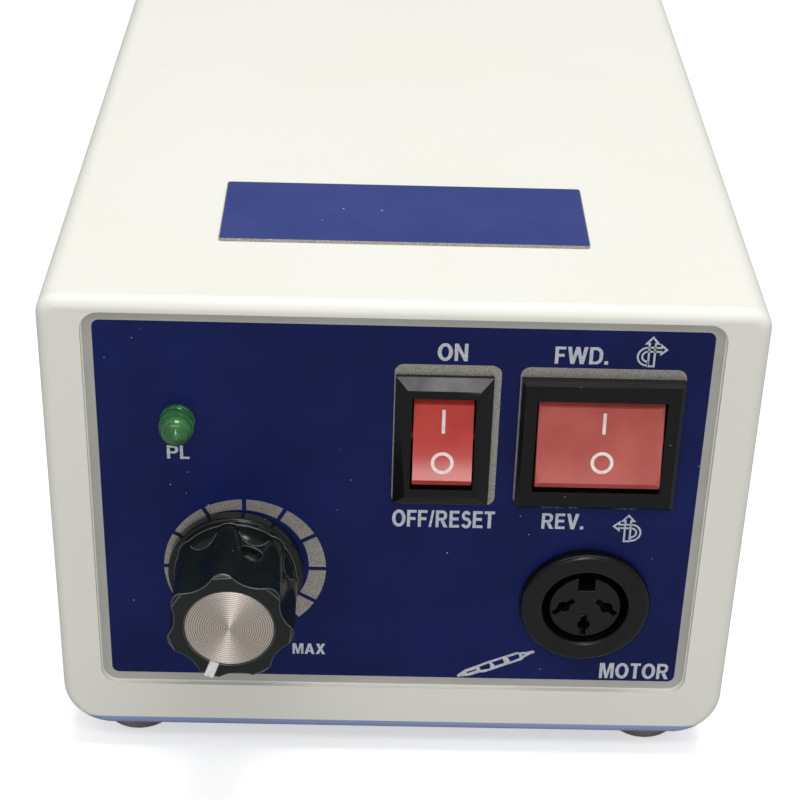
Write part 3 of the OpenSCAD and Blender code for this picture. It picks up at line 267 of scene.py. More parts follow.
def zinc_plated_steel():
    # Bright zinc on steel: cool grey, faintly crystalline.
    material, tree, shader = finish_of("zinc_plated_steel", "#B9BBBE", 0.34, 1.0)
    tone(tree, shader, 0.8, "#A6A9AD", "#C6C8CB")
    sheen_patches(tree, shader, 0.5, 0.26, 0.42)
    return material


def silver_anodised_aluminium():
    # Etched and anodised sheet, left bare where the ink stops: a grey sparkle as fine as sand, its glints painted as
    # pale specks, hardly any reflection.
    # The real etch is about 0.05 mm; it is drawn at 0.16 mm to show.
    material, tree, shader = finish_of("silver_anodised_aluminium", "#A5A19A", 0.5, 0.55)
    colour = tone(tree, shader, 0.16, "#8B8780", "#B9B5AE", detail=1.0)
    # Pale specks: painted glints, the sparkle of the etch
    specks(tree, shader, colour, 0.9, 0.12, "#E6E4E0")
    grain(tree, shader, 0.16, 0.02, 0.5)
    return material


def navy_ink_screen_printed():
    # Screen ink with a faint orange peel from the mesh, and a scatter of dust that its gloss holds.
    material, tree, shader = finish_of("navy_ink_screen_printed", "#161F56", 0.36, IOR=1.5, Specular_IOR_Level=0.12)
    colour = tone(tree, shader, 14, "#141C50", "#18225C")
    specks(tree, shader, colour, 4.2, 0.22, "#8F97B4")
    sheen_patches(tree, shader, 5, 0.3, 0.42)
    grain(tree, shader, 0.4, 0.008, 0.4)
    return material


def blue_ink_screen_printed():
    # A lighter pull of the same ink on the top plate, handled more and so more even.
    material, tree, shader = finish_of("blue_ink_screen_printed", "#2F3D7E", 0.34, IOR=1.5, Specular_IOR_Level=0.22)
    colour = tone(tree, shader, 9, "#2D3B7B", "#313F80")
    specks(tree, shader, colour, 3.6, 0.22, "#9AA3CC")
    sheen_patches(tree, shader, 6, 0.28, 0.42)
    grain(tree, shader, 0.4, 0.008, 0.4)
    return material


def grey_ledge_band_finish():
    # Satin grey band over the panel's edge and the ledge round it, so the ledge reads grey.
    material, tree, shader = finish_of("grey_ledge_band_finish", "#B2B0AA", 0.4, IOR=1.5)
    tone(tree, shader, 12, "#AEACA6", "#B6B4AE")
    grain(tree, shader, 0.5, 0.01, 0.3)
    return material


def green_epoxy_cast():
    # Tinted epoxy cast in a polished cup: the lead frame's dark cup shows through it, and its beads gather light.
    material, tree, shader = finish_of("green_epoxy_cast", "#5FB36A", 0.12, IOR=1.55, Transmission_Weight=0.75,
                                       Specular_IOR_Level=0.4)
    tone(tree, shader, 1.6, "#57AA62", "#68BC72")
    return material


def tinned_copper_wire():
    # Dipped tin: soft grey metal with a slightly lumpy skin.
    material, tree, shader = finish_of("tinned_copper_wire", "#C4C4BF", 0.35, 1.0)
    tone(tree, shader, 0.6, "#B4B4AF", "#CFCFCA")
    return material


def black_nylon_moulded():
    # Glass-filled nylon: dark grey rather than black in the light, silky, with a very fine matt grain.
    material, tree, shader = finish_of("black_nylon_moulded", "#111312", 0.19, IOR=1.53, Specular_IOR_Level=0.22)
    colour = tone(tree, shader, 6, "#0F1110", "#131514")
    specks(tree, shader, colour, 2.6, 0.14, "#6D716E")
    sheen_patches(tree, shader, 4, 0.15, 0.23)
    grain(tree, shader, 0.25, 0.008, 0.4)
    return material


def red_polycarbonate_moulded():
    # Tinted polycarbonate, polished mould: glossy, and a little light passes into it so its edges glow.
    material, tree, shader = finish_of("red_polycarbonate_moulded", "#C63C34", 0.22, IOR=1.58, Subsurface_Weight=0.2,
                                       Subsurface_Radius=(2.2 * MM, 0.5 * MM, 0.4 * MM), Specular_IOR_Level=0.44)
    tone(tree, shader, 5, "#C1372E", "#CB4239")
    grain(tree, shader, 0.5, 0.006, 0.3)
    return material


def red_nylon_moulded():
    # Opaque red nylon, textured mould: paler and more matt than its neighbour.
    material, tree, shader = finish_of("red_nylon_moulded", "#BC5048", 0.44, IOR=1.53, Subsurface_Weight=0.08,
                                       Subsurface_Radius=(1.2 * MM, 0.4 * MM, 0.3 * MM))
    tone(tree, shader, 6, "#B54A42", "#C45A51")
    sheen_patches(tree, shader, 3, 0.4, 0.5)
    grain(tree, shader, 0.3, 0.015, 0.5)
    return material


def pale_ink_screen_printed():
    # Opaque silver-white ink over the navy: chalky and cooler than the bare sheet, thin at its edges.
    material, tree, shader = finish_of("pale_ink_screen_printed", "#C4C7CF", 0.5, IOR=1.5)
    tone(tree, shader, 0.5, "#B5B9C3", "#D0D3DA")
    grain(tree, shader, 0.2, 0.01, 0.4)
    return material


def white_pad_print():
    # Thin white ink pressed on by a pad: chalky, with the red of the plastic just coming through.
    material, tree, shader = finish_of("white_pad_print", "#F3DEDA", 0.5, IOR=1.5)
    tone(tree, shader, 0.6, "#EED6D1", "#FAF0ED")
    return material


def white_fill_paint():
    # Paint wiped into a groove: bright, slightly uneven.
    material, tree, shader = finish_of("white_fill_paint", "#EDEDEA", 0.45, IOR=1.5)
    tone(tree, shader, 0.5, "#DCDCD8", "#F8F8F6")
    grain(tree, shader, 0.3, 0.02, 0.5)
    return material


def brass_stamped():
    # Stamped brass with a thin nickel flash: pale gold, long scratches from the press tool.
    material, tree, shader = finish_of("brass_stamped", "#C8B27A", 0.32, 1.0)
    tone(tree, shader, 0.5, "#B79F66", "#D2BF8C", stretch=(1, 0.1, 1))
    return material


def steel_pressed():
    # Pressed steel can with dull nickel on it.
    material, tree, shader = finish_of("steel_pressed", "#A2A4A7", 0.38, 1.0)
    tone(tree, shader, 1.2, "#93969A", "#AEB0B3")
    sheen_patches(tree, shader, 0.8, 0.3, 0.46)
    return material


def black_phenolic_polished():
    # Phenolic from a polished mould: a deep, wet black that mirrors everything round it, with dust in its flutes.
    material, tree, shader = finish_of("black_phenolic_polished", "#151A18", 0.16, IOR=1.6, Specular_IOR_Level=0.27)
    colour = tone(tree, shader, 5, "#121715", "#181D1B")
    specks(tree, shader, colour, 1.9, 0.13, "#7F8686")
    sheen_patches(tree, shader, 2.5, 0.12, 0.2)
    return material


def black_phenolic_painted_highlight():
    # The same phenolic made greyer on the knob's rounded edges: a painted highlight, drawing the lobes in thin pale
    # lines.
    material, tree, shader = finish_of("black_phenolic_painted_highlight", "#474C4A", 0.3, IOR=1.6)
    tone(tree, shader, 2, "#3A3F3D", "#555A58")
    return material


def aluminium_face_turned():
    # Turned on a lathe: rings cut in the mesh, painted shade darkening each groove, and a grain that follows them, so
    # light fans out from the middle; warm grey.
    material, tree, shader = finish_of("aluminium_face_turned", "#D8CEC6", 0.52, 1.0, Anisotropic=0.75,
                                       Anisotropic_Rotation=0.25)
    place = put(tree, "ShaderNodeTexCoord").outputs["Object"]
    middle = put(tree, "ShaderNodeMapping", {"Vector": place, "Location": (-KNOB_AXIS[0] * MM, 0, -KNOB_AXIS[1] * MM)})
    rings = put(tree, "ShaderNodeTexWave", {"Vector": middle.outputs["Vector"], "Scale": wave_scale(CAP_PITCH),
                                            "Phase Offset": 2 * math.pi * (1 - CAP_GROOVE_AT)},
                wave_type="RINGS", rings_direction="Y")
    # Dark in each groove and pale on each ridge: painted shade that brings out the rings
    ramp = put(tree, "ShaderNodeValToRGB", {"Fac": rings.outputs["Fac"]}, stops=((0.0, "#A0978F"), (0.6, "#ECE1D8")))
    tree.links.new(ramp.outputs["Color"], shader.inputs["Base Color"])
    around = put(tree, "ShaderNodeTangent", direction_type="RADIAL", axis="Y")
    tree.links.new(around.outputs["Tangent"], shader.inputs["Tangent"])
    return material


def black_nylon_socket():
    # Socket moulding: blacker and smoother than the switches.
    material, tree, shader = finish_of("black_nylon_socket", "#0E100F", 0.26, IOR=1.53, Specular_IOR_Level=0.3)
    colour = tone(tree, shader, 5, "#0C0E0D", "#101211")
    specks(tree, shader, colour, 2.2, 0.12, "#6D716E")
    sheen_patches(tree, shader, 4, 0.22, 0.32)
    grain(tree, shader, 0.3, 0.01, 0.4)
    return material


def silicon_steel_varnished():
    # Stack of 0.5 mm sheets dipped in varnish: lines along the stack, drawn every 3 mm to show; dark, slightly greasy.
    material, tree, shader = finish_of("silicon_steel_varnished", "#55575A", 0.45, 0.6)
    lines = put(tree, "ShaderNodeTexWave", {"Vector": where(tree), "Scale": wave_scale(3.14), "Distortion": 0.4},
                wave_type="BANDS", bands_direction="Y")
    ramp = put(tree, "ShaderNodeValToRGB", {"Fac": lines.outputs["Fac"]}, stops=((0.2, "#3B3C3F"), (0.7, "#66686C")))
    tree.links.new(ramp.outputs["Color"], shader.inputs["Base Color"])
    return material


def amber_polyester_tape():
    # Wound polyester tape: smooth, amber, darker where the turns overlap.
    material, tree, shader = finish_of("amber_polyester_tape", "#C77F2E", 0.3, IOR=1.58)
    tone(tree, shader, 7, "#B56F22", "#D48F3E", stretch=(0.3, 0.3, 1))
    return material


def green_solder_mask():
    # Epoxy mask over copper: green gloss, lighter where tracks run under it.
    material, tree, shader = finish_of("green_solder_mask", "#2F6B45", 0.28, IOR=1.5)
    tone(tree, shader, 4, "#275C3A", "#3B7F54", stretch=(0.25, 1, 1), detail=0.0)
    return material


def blue_sleeve_shrunk():
    # Heat-shrunk PVC sleeve: glossy, tight on the can.
    material, tree, shader = finish_of("blue_sleeve_shrunk", "#2B3A63", 0.25, IOR=1.53)
    tone(tree, shader, 8, "#26345A", "#31426F")
    return material


def black_epoxy_moulded():
    # Moulded epoxy and phenolic bodies: matt charcoal.
    material, tree, shader = finish_of("black_epoxy_moulded", "#242628", 0.5, IOR=1.55)
    tone(tree, shader, 3, "#1F2123", "#2B2D2F")
    sheen_patches(tree, shader, 3, 0.42, 0.56)
    grain(tree, shader, 0.3, 0.015, 0.5)
    return material


def black_anodised_aluminium():
    # Extruded and dyed black: faint lines along the fins.
    material, tree, shader = finish_of("black_anodised_aluminium", "#2C2E31", 0.42, 0.7)
    tone(tree, shader, 0.8, "#26282B", "#36393C", stretch=(1, 1, 0.05))
    return material


def natural_nylon_moulded():
    # Uncoloured nylon: milky and soft.
    material, tree, shader = finish_of("natural_nylon_moulded", "#E6E2D2", 0.42, IOR=1.53, Subsurface_Weight=0.2,
                                       Subsurface_Radius=(1 * MM, 1 * MM, 0.8 * MM))
    tone(tree, shader, 3, "#DEDAC9", "#ECE9DC")
    return material


def black_nylon_gland():
    # Gland nylon: black with a soft sheen on its flats.
    material, tree, shader = finish_of("black_nylon_gland", "#232628", 0.44, IOR=1.53)
    tone(tree, shader, 5, "#1F2224", "#292C2E")
    sheen_patches(tree, shader, 4, 0.38, 0.5)
    grain(tree, shader, 0.4, 0.015, 0.4)
    return material


def glass_tube_drawn():
    # Fuse glass between plated ends: mostly clear, a hint of grey.
    material, tree, shader = finish_of("glass_tube_drawn", "#E4E6E2", 0.08, IOR=1.5, Transmission_Weight=0.7)
    tone(tree, shader, 6, "#DADCD8", "#ECEEEA")
    return material


def nickel_plated_steel():
    # Slide switch shell: warm nickel, brushed along its length.
    material, tree, shader = finish_of("nickel_plated_steel", "#8E9194", 0.34, 1.0)
    tone(tree, shader, 0.4, "#83868A", "#9B9EA1", stretch=(0.08, 1, 1))
    return material


FINISHES = {
    "cover_plastic": ivory_abs_moulded(), "base_plastic": blue_abs_moulded(), "foot_rubber": grey_rubber_moulded(),
    "plated_screw": zinc_plated_steel(), "panel_print": silver_anodised_aluminium(),
    "plate_print": silver_anodised_aluminium(), "lamp_lens": green_epoxy_cast(), "tinned_wire": tinned_copper_wire(),
    "switch_black": black_nylon_moulded(), "rocker_red": red_polycarbonate_moulded(),
    "rocker_red_matt": red_nylon_moulded(), "terminal_brass": brass_stamped(), "pot_steel": steel_pressed(),
    "knob_black": black_phenolic_polished(), "cap_aluminium": aluminium_face_turned(),
    "socket_black": black_nylon_socket(), "core_steel": silicon_steel_varnished(), "coil_tape": amber_polyester_tape(),
    "board_laminate": green_solder_mask(), "capacitor_sleeve": blue_sleeve_shrunk(),
    "part_black": black_epoxy_moulded(), "sink_aluminium": black_anodised_aluminium(),
    "connector_nylon": natural_nylon_moulded(), "gland_nylon": black_nylon_gland(), "fuse_glass": glass_tube_drawn(),
    "selector_steel": nickel_plated_steel(),
}
SILVER = FINISHES["panel_print"]
NAVY_INK = navy_ink_screen_printed()
GREY_LEDGE_FINISH = grey_ledge_band_finish()
BLUE_INK = blue_ink_screen_printed()
PALE_INK = pale_ink_screen_printed()
MARK_WHITE = white_pad_print()
POINTER_WHITE = white_fill_paint()

# ---------------------------------------------------------------------------------------------------------------------
# CAD nodes: their finish, and edges softened as a mould or a tool leaves them
# ---------------------------------------------------------------------------------------------------------------------

# Edge radius in millimetres, where it differs from EDGE
EDGE = 0.15
EDGES = {
    "cover": 0.45, "base_tray": 0.3, "top_plate": 0.06, "front_panel": 0.06,
    "power_switch_housing": 0.22, "direction_switch_housing": 0.22, "power_rocker": 0.3, "direction_rocker": 0.35,
    "speed_knob": 0.13, "motor_socket_shell": 0.55, "motor_socket_core": 0.2, "gland_dome_nut": 0.3, "cord_gland": 0.3,
}

# Finish of the softened edges, where it differs from the node's: a paler one, painted on as a highlight
PAINTED_EDGE_HIGHLIGHTS = {"speed_knob": black_phenolic_painted_highlight()}
EDGE_STEPS = 3
SHARP_ANGLE = 38
# Points closer than this are joined. The knob's arcs overlap by slivers, which would pinch a clamped radius.
JOIN_GAP = 0.001
SLIVER_GAP = 0.03


def soften(node, radius, finish=None):
    """Rounds the sharp edges of a node, in a finish of their own if one is given (a painted highlight), and keeps its
    flat faces flat.
    """
    weld = node.modifiers.new("join_faces", "WELD")
    weld.merge_threshold = (SLIVER_GAP if finish else JOIN_GAP) * MM
    bevel = node.modifiers.new("edge_radius", "BEVEL")
    bevel.width = radius * MM
    bevel.segments = EDGE_STEPS
    bevel.limit_method = "ANGLE"
    bevel.angle_limit = math.radians(SHARP_ANGLE)
    bevel.miter_outer = "MITER_ARC"
    bevel.use_clamp_overlap = not finish
    if finish:
        node.data.materials.append(finish)
        bevel.material = 1
    normals = node.modifiers.new("flat_faces", "WEIGHTED_NORMAL")
    normals.keep_sharp = False


slot_of = {part["node"]: part["material_slot"] for part in frame["record"]["subparts"]}
for name, node in NODES.items():
    node.data.materials.clear()
    node.data.materials.append(FINISHES[slot_of[name]])
    for face in node.data.polygons:
        face.use_smooth = True
    soften(node, EDGES.get(name, EDGE), PAINTED_EDGE_HIGHLIGHTS.get(name))

# ---------------------------------------------------------------------------------------------------------------------
# Flat prints. Outlines are lists of points in millimetres, and a hole is an outline inside another.
# ---------------------------------------------------------------------------------------------------------------------


def arc(centre, radius, start, end, steps=24):
    """Points on an arc from start to end, in degrees."""
    return [(centre[0] + radius * math.cos(math.radians(start + (end - start) * i / steps)),
             centre[1] + radius * math.sin(math.radians(start + (end - start) * i / steps))) for i in range(steps + 1)]


def round_corners(low, high, radius):
    """A rectangle with round corners, from its lowest to its highest corner."""
    (x0, y0), (x1, y1) = low, high
    corners = (((x1 - radius, y0 + radius), -90), ((x1 - radius, y1 - radius), 0),
               ((x0 + radius, y1 - radius), 90), ((x0 + radius, y0 + radius), 180))
    return [point for centre, start in corners for point in arc(centre, radius, start, start + 90, 8)]


def offset(outline, distance):
    """The outline moved outwards by distance, with mitred corners. It runs anticlockwise."""
    moved = []
    for i, point in enumerate(outline):
        here = Vector(point)
        before = (here - Vector(outline[i - 1])).normalized()
        after = (Vector(outline[(i + 1) % len(outline)]) - here).normalized()
        normal = Vector((before.y + after.y, -before.x - after.x)).normalized()
        moved.append(tuple(here + normal * distance / max(0.35, normal.dot(Vector((before.y, -before.x))))))
    return moved


def drawn_line(outline, width):
    """A closed outline drawn as a line of that width: its outer edge and its inner edge."""
    return [offset(outline, width / 2), offset(outline, -width / 2)]


def filled(outlines, thickness):
    """A mesh of the filled outlines, from z = 0 up to thickness, in millimetres."""
    curve = bpy.data.curves.new("outline", "CURVE")
    curve.dimensions = "2D"
    curve.fill_mode = "BOTH"
    curve.extrude = thickness / 2
    for outline in outlines:
        spline = curve.splines.new("POLY")
        spline.points.add(len(outline) - 1)
        spline.use_cyclic_u = True
        for point, (x, y) in zip(spline.points, outline):
            point.co = (x, y, 0, 1)
    holder = bpy.data.objects.new("outline", curve)
    bpy.context.scene.collection.objects.link(holder)
    bpy.context.view_layer.update()
    mesh = bpy.data.meshes.new_from_object(holder.evaluated_get(bpy.context.evaluated_depsgraph_get()))
    bpy.data.objects.remove(holder)
    mesh.transform(Matrix.Translation((0, 0, thickness / 2)))
    return mesh


def joined(meshes):
    """Several meshes as one."""
    together = bmesh.new()
    for mesh in meshes:
        together.from_mesh(mesh)
        bpy.data.meshes.remove(mesh)
    mesh = bpy.data.meshes.new("joined")
    together.to_mesh(mesh)
    together.free()
    return mesh


def bowl(x, low, high, reach, radius):
    """Points round the right-hand bowl of a letter, from its foot to its head."""
    return [(x, low), *arc((reach - radius, low + radius), radius, -90, 0, 8),
            *arc((reach - radius, high - radius), radius, 0, 90, 8), (x, high)]


def oval(x, y, across, up):
    """An ellipse as an outline."""
    return [(x + across * c, y + up * d) for c, d in arc((0, 0), 1, 0, 360, 36)[:-1]]


def ribbon(path, width):
    """An open line drawn with that width, its ends cut square."""
    sides = ([], [])
    for i, point in enumerate(path):
        along = (Vector(path[min(i + 1, len(path) - 1)]) - Vector(path[max(i - 1, 0)])).normalized()
        across = Vector((-along.y, along.x)) * width / 2
        sides[0].append(tuple(Vector(point) - across))
        sides[1].append(tuple(Vector(point) + across))
    return sides[0] + sides[1][::-1]


def letters():
    """Bold plain capitals, one unit tall: each is its width and its parts, and a part is an outline with its holes."""
    stem, bar = 0.2, 0.16
    bent = arc((0.34, 0.715), 0.2, 20, 270, 18) + arc((0.34, 0.285), 0.23, 90, -160, 18)
    upper = [bowl(0, 0.4, 1, 0.72, 0.28), bowl(stem, 0.4 + bar, 1 - bar, 0.72 - stem, 0.11)]
    head = [[(0, 0), (stem, 0), (stem, 0.4), *upper[0][1:]], upper[1]]
    return {
        "A": (0.84, [[[(0, 0), (0.24, 0), (0.3, 0.2), (0.54, 0.2), (0.6, 0), (0.84, 0), (0.54, 1), (0.3, 1)],
                      [(0.35, 0.37), (0.42, 0.66), (0.49, 0.37)]]]),
        "D": (0.76, [[bowl(0, 0, 1, 0.76, 0.38), bowl(stem, bar, 1 - bar, 0.76 - stem, 0.22)]]),
        "E": (0.64, [[[(0, 0), (0.64, 0), (0.64, bar), (stem, bar), (stem, 0.43), (0.58, 0.43), (0.58, 0.6),
                       (stem, 0.6), (stem, 1 - bar), (0.62, 1 - bar), (0.62, 1), (0, 1)]]]),
        "F": (0.6, [[[(0, 0), (stem, 0), (stem, 0.41), (0.54, 0.41), (0.54, 0.58), (stem, 0.58), (stem, 1 - bar),
                      (0.6, 1 - bar), (0.6, 1), (0, 1)]]]),
        "L": (0.6, [[[(0, 0), (0.6, 0), (0.6, bar), (stem, bar), (stem, 1), (0, 1)]]]),
        "M": (0.92, [[[(0, 0), (0.2, 0), (0.2, 0.7), (0.38, 0), (0.54, 0), (0.72, 0.7), (0.72, 0), (0.92, 0), (0.92, 1),
                       (0.62, 1), (0.46, 0.33), (0.3, 1), (0, 1)]]]),
        "N": (0.76, [[[(0, 0), (0.2, 0), (0.2, 0.64), (0.55, 0), (0.76, 0), (0.76, 1), (0.56, 1), (0.56, 0.36),
                       (0.21, 1), (0, 1)]]]),
        "O": (0.86, [[oval(0.43, 0.5, 0.43, 0.51), oval(0.43, 0.5, 0.21, 0.33)]]),
        "P": (0.72, [head]),
        "R": (0.78, [head, [[(0.3, 0.41), (0.52, 0), (0.78, 0), (0.52, 0.43)]]]),
        "S": (0.66, [[ribbon(bent, 0.185)]]),
        "T": (0.66, [[[(0.22, 0), (0.44, 0), (0.44, 1 - bar), (0.66, 1 - bar), (0.66, 1), (0, 1), (0, 1 - bar),
                       (0.22, 1 - bar)]]]),
        "V": (0.8, [[[(0.28, 0), (0.52, 0), (0.8, 1), (0.56, 1), (0.4, 0.32), (0.24, 1), (0, 1)]]]),
        "W": (1.16, [[[(0.2, 0), (0.42, 0), (0.58, 0.64), (0.74, 0), (0.96, 0), (1.16, 1), (0.94, 1), (0.84, 0.4),
                       (0.69, 1), (0.47, 1), (0.32, 0.4), (0.22, 1), (0, 1)]]]),
        "X": (0.8, [[[(0, 0), (0.26, 0), (0.4, 0.29), (0.54, 0), (0.8, 0), (0.54, 0.51), (0.78, 1), (0.52, 1),
                      (0.4, 0.74), (0.28, 1), (0.02, 1), (0.26, 0.51)]]]),
        "/": (0.34, [[[(0, 0), (0.15, 0), (0.34, 1), (0.19, 1)]]]),
        ".": (0.22, [[[(0, 0), (0.22, 0), (0.22, 0.2), (0, 0.2)]]]),
    }


CAPITALS = letters()


def lettered(text, centre, width, height, thickness):
    """A word in bold capitals, fitted to that width and height."""
    ends = [0]
    for letter in text:
        ends.append(ends[-1] + CAPITALS[letter][0] + LETTER_SPACE)
    stretch = width / (ends[-1] - LETTER_SPACE)
    left, foot = centre[0] - width / 2, centre[1] - height / 2
    parts = [[[(left + (start + x) * stretch, foot + y * height) for x, y in outline] for outline in part]
             for letter, start in zip(text, ends) for part in CAPITALS[letter][1]]
    return joined([filled(part, thickness) for part in parts])


def add_piece(name, mesh, finish, body, smooth=False):
    """Puts a mesh into the scene as a piece that moves with a body."""
    mesh.name = name
    mesh.materials.clear()
    mesh.materials.append(finish)
    for face in mesh.polygons:
        face.use_smooth = smooth
    piece = bpy.data.objects.new(name, mesh)
    bpy.context.scene.collection.objects.link(piece)
    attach(piece, body)
    return piece


# Print coordinates to the unit's frame, up the front panel
ON_FRONT = Matrix.Translation((0, PANEL_FACE * MM, 0)) @ Matrix.Rotation(math.radians(90), 4, "X") @ Matrix.Scale(MM, 4)


def front_print(name, mesh, finish):
    """A print on the front panel."""
    mesh.transform(ON_FRONT)
    return add_piece(name, mesh, finish, "case")


def front_box(node, inset):
    """Lowest and highest corner of a node seen from the front, moved in by inset, in millimetres."""
    low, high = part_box(node)
    return (low.x / MM + inset, low.z / MM + inset), (high.x / MM - inset, high.z / MM - inset)


def front_round(node, inset):
    """Outline of a round node seen from the front, smaller by inset."""
    (x0, z0), (x1, z1) = front_box(node, inset)
    return arc(((x0 + x1) / 2, (z0 + z1) / 2), (x1 - x0) / 2, 0, 360, 48)[:-1]


# The ink stops short of the panel's edge, and under whatever sits on the panel
bezel_seats = [round_corners(*front_box(node, SEAT_LAP), SEAT_CORNER_R)
               for node in ("power_switch_housing", "direction_switch_housing")]
round_seats = [front_round("motor_socket_shell", SEAT_LAP), front_round("pot_washer", -SEAT_LAP),
               front_round("pilot_lamp", LAMP_FLANGE)]
ink_edge = round_corners(*front_box("front_panel", INK_BORDER), INK_CORNER_R)
front_print("front_ink", filled([ink_edge, *bezel_seats, *round_seats], INK_T), NAVY_INK)

# A grey band over the panel's edge and the ledge round it
margin_edge = round_corners(*front_box("front_panel", -MARGIN_OUT), MARGIN_CORNER_R)
front_print("grey_ledge_band", filled([margin_edge, ink_edge], INK_T), GREY_LEDGE_FINISH)

frames = [round_corners(low, high, SWITCH_FRAME_R) for low, high in SWITCH_FRAMES.values()]
front_print("switch_frames", filled(frames + bezel_seats, PRINT_T), SILVER)


def speed_scale():
    """Silver band round the knob that widens towards full speed, cut into steps."""
    cuts = [SCALE_FROM, *range(SCALE_FIRST_CUT, SCALE_TO, -SCALE_STEP), SCALE_TO]
    steps = []
    for start, end in zip(cuts, cuts[1:]):
        half_gap = math.degrees(SCALE_GAP / 2 / SCALE_R)
        outer = arc(SCALE_CENTRE, SCALE_R, end + half_gap, start - half_gap, SCALE_POINTS)
        share = [(SCALE_FROM - a) / (SCALE_FROM - SCALE_TO) for a in (start, end)]
        widths = [SCALE_W_FROM + s * (SCALE_W_TO - SCALE_W_FROM) for s in share]
        inner = []
        for i in range(SCALE_POINTS + 1):
            radius = SCALE_R - widths[0] - (widths[1] - widths[0]) * i / SCALE_POINTS
            half_gap = math.degrees(SCALE_GAP / 2 / radius)
            angle = start - half_gap + (end - start + 2 * half_gap) * i / SCALE_POINTS
            inner += arc(SCALE_CENTRE, radius, angle, angle, 1)[:1]
        steps.append(outer + inner)
    return steps


front_print("speed_scale", filled(speed_scale(), PRINT_T), SILVER)
front_print("panel_words", joined([lettered(*word, PRINT_T) for word in WORDS]), PALE_INK)


def direction_sign(centre, side):
    """An upright arrow with a second one that turns round it to that side. Points are in mm from its centre."""
    upright = [(0.5, 1.5), (0.95, 1.5), (0.05, 2.55), (-0.85, 1.5), (-0.4, 1.5), (-0.4, -2.4), (0.5, -2.4)]
    turn = (-0.5, -0.75)
    turning = [(-0.5, -2.3), (-0.5, -1.62), *arc(turn, 0.87, 270, 90, 12)[1:], (1.45, 0.12), (1.45, -0.28), (2.3, 0.46),
               (1.45, 1.2), (1.45, 0.8), *arc(turn, 1.55, 90, 270, 16)[:-1]]
    shapes = []
    for outline in (upright, turning):
        placed = [(centre[0] + side * x, centre[1] + y) for x, y in outline]
        shapes.append(filled(drawn_line(placed if side > 0 else placed[::-1], SIGN_LINE), PRINT_T))
    return shapes


front_print("direction_signs", joined(direction_sign(FORWARD_SIGN, 1) + direction_sign(REVERSE_SIGN, -1)), PALE_INK)


def handpiece_sign():
    """A slim handpiece from its tip to its cord end, with windows. Points are (share of its length, side in mm)."""
    along = Vector(HANDPIECE_END) - Vector(HANDPIECE_TIP)
    across = Vector((-along.y, along.x)) / along.length
    outline = [(0, 0.16), (0.07, 0.5), (0.12, 0.75), (0.29, 0.84), (0.43, 0.95), (0.8, 0.96), (0.825, 0.72),
               (0.925, 0.35), (0.99, 0.32), (1, -0.22), (0.91, -0.34), (0.86, -0.52), (0.81, -0.88), (0.57, -0.92),
               (0.34, -1.0), (0.27, -0.74), (0.14, -0.72), (0, -0.2)]
    windows = [
        [(0.125, 0.18), (0.255, 0.16), (0.25, -0.13), (0.13, -0.14)],
        [(0.297, 0.42), (0.423, 0.52), (0.433, 0.12), (0.418, -0.47), (0.395, -0.58), (0.297, -0.34)],
        [(0.463, 0.51), (0.604, 0.57), (0.604, -0.38), (0.483, -0.4)],
        [(0.668, 0.55), (0.811, 0.52), (0.8, -0.38), (0.676, -0.5)],
        [(0.838, 0.1), (0.855, 0.3), (0.872, 0.1), (0.855, -0.12)],
    ]
    placed = [[tuple(Vector(HANDPIECE_TIP) + along * share + across * side) for share, side in points]
              for points in (outline, *windows)]
    return filled(placed, PRINT_T)


front_print("handpiece_sign", handpiece_sign(), PALE_INK)

# Ink on the top plate, just short of its edge so a thin silver line stays all round
plate_low, plate_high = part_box("top_plate")
plate_corners = [(corner.x / MM + inset, corner.y / MM + inset)
                 for corner, inset in ((plate_low, TOP_PLATE_EDGE), (plate_high, -TOP_PLATE_EDGE))]
plate_ink = filled([round_corners(*plate_corners, TOP_PLATE_CORNER_R)], INK_T)
plate_ink.transform(Matrix.Translation((0, 0, plate_high.z)) @ Matrix.Scale(MM, 4))
add_piece("top_plate_ink", plate_ink, BLUE_INK, "case")

# ---------------------------------------------------------------------------------------------------------------------
# Marks on the rockers, laid on the hollow arc of their faces
# ---------------------------------------------------------------------------------------------------------------------


def on_rocker(x, up, lift):
    """Point on a rocker's face: across, up along its arc from the middle, and out of it, in millimetres."""
    tilt = math.radians(-ROCKER_SWING / 2)
    angle = up / ROCKER_FACE_R
    radius = ROCKER_FACE_R - lift
    rise = radius * math.sin(angle)
    out = ROCKER_FACE_R + ROCKER_VALLEY - radius * math.cos(angle)
    return Vector((x, ROCKER_PIVOT[0] - (rise * math.sin(tilt) + out * math.cos(tilt)),
                   ROCKER_PIVOT[1] + rise * math.cos(tilt) - out * math.sin(tilt))) * MM


def strip_on_rocker(rows):
    """Mesh of a printed strip: rows of two points (across, up), joined in turn. A repeat of the first row closes it."""
    built = bmesh.new()
    faces = []
    for left, right in rows:
        faces.append([built.verts.new(on_rocker(*point, lift)) for point in (left, right) for lift in (0, MARK_LIFT)])
    for (a, b, c, d), (e, f, g, h) in zip(faces, faces[1:]):
        for quad in ((b, d, h, f), (a, b, f, e), (d, c, g, h)):
            built.faces.new(quad)
    for a, b, c, d in (faces[0], faces[-1]):
        built.faces.new((a, c, d, b))
    bmesh.ops.remove_doubles(built, verts=built.verts, dist=0.0001 * MM)
    bmesh.ops.recalc_face_normals(built, faces=built.faces)
    mesh = bpy.data.meshes.new("mark")
    built.to_mesh(mesh)
    built.free()
    return mesh


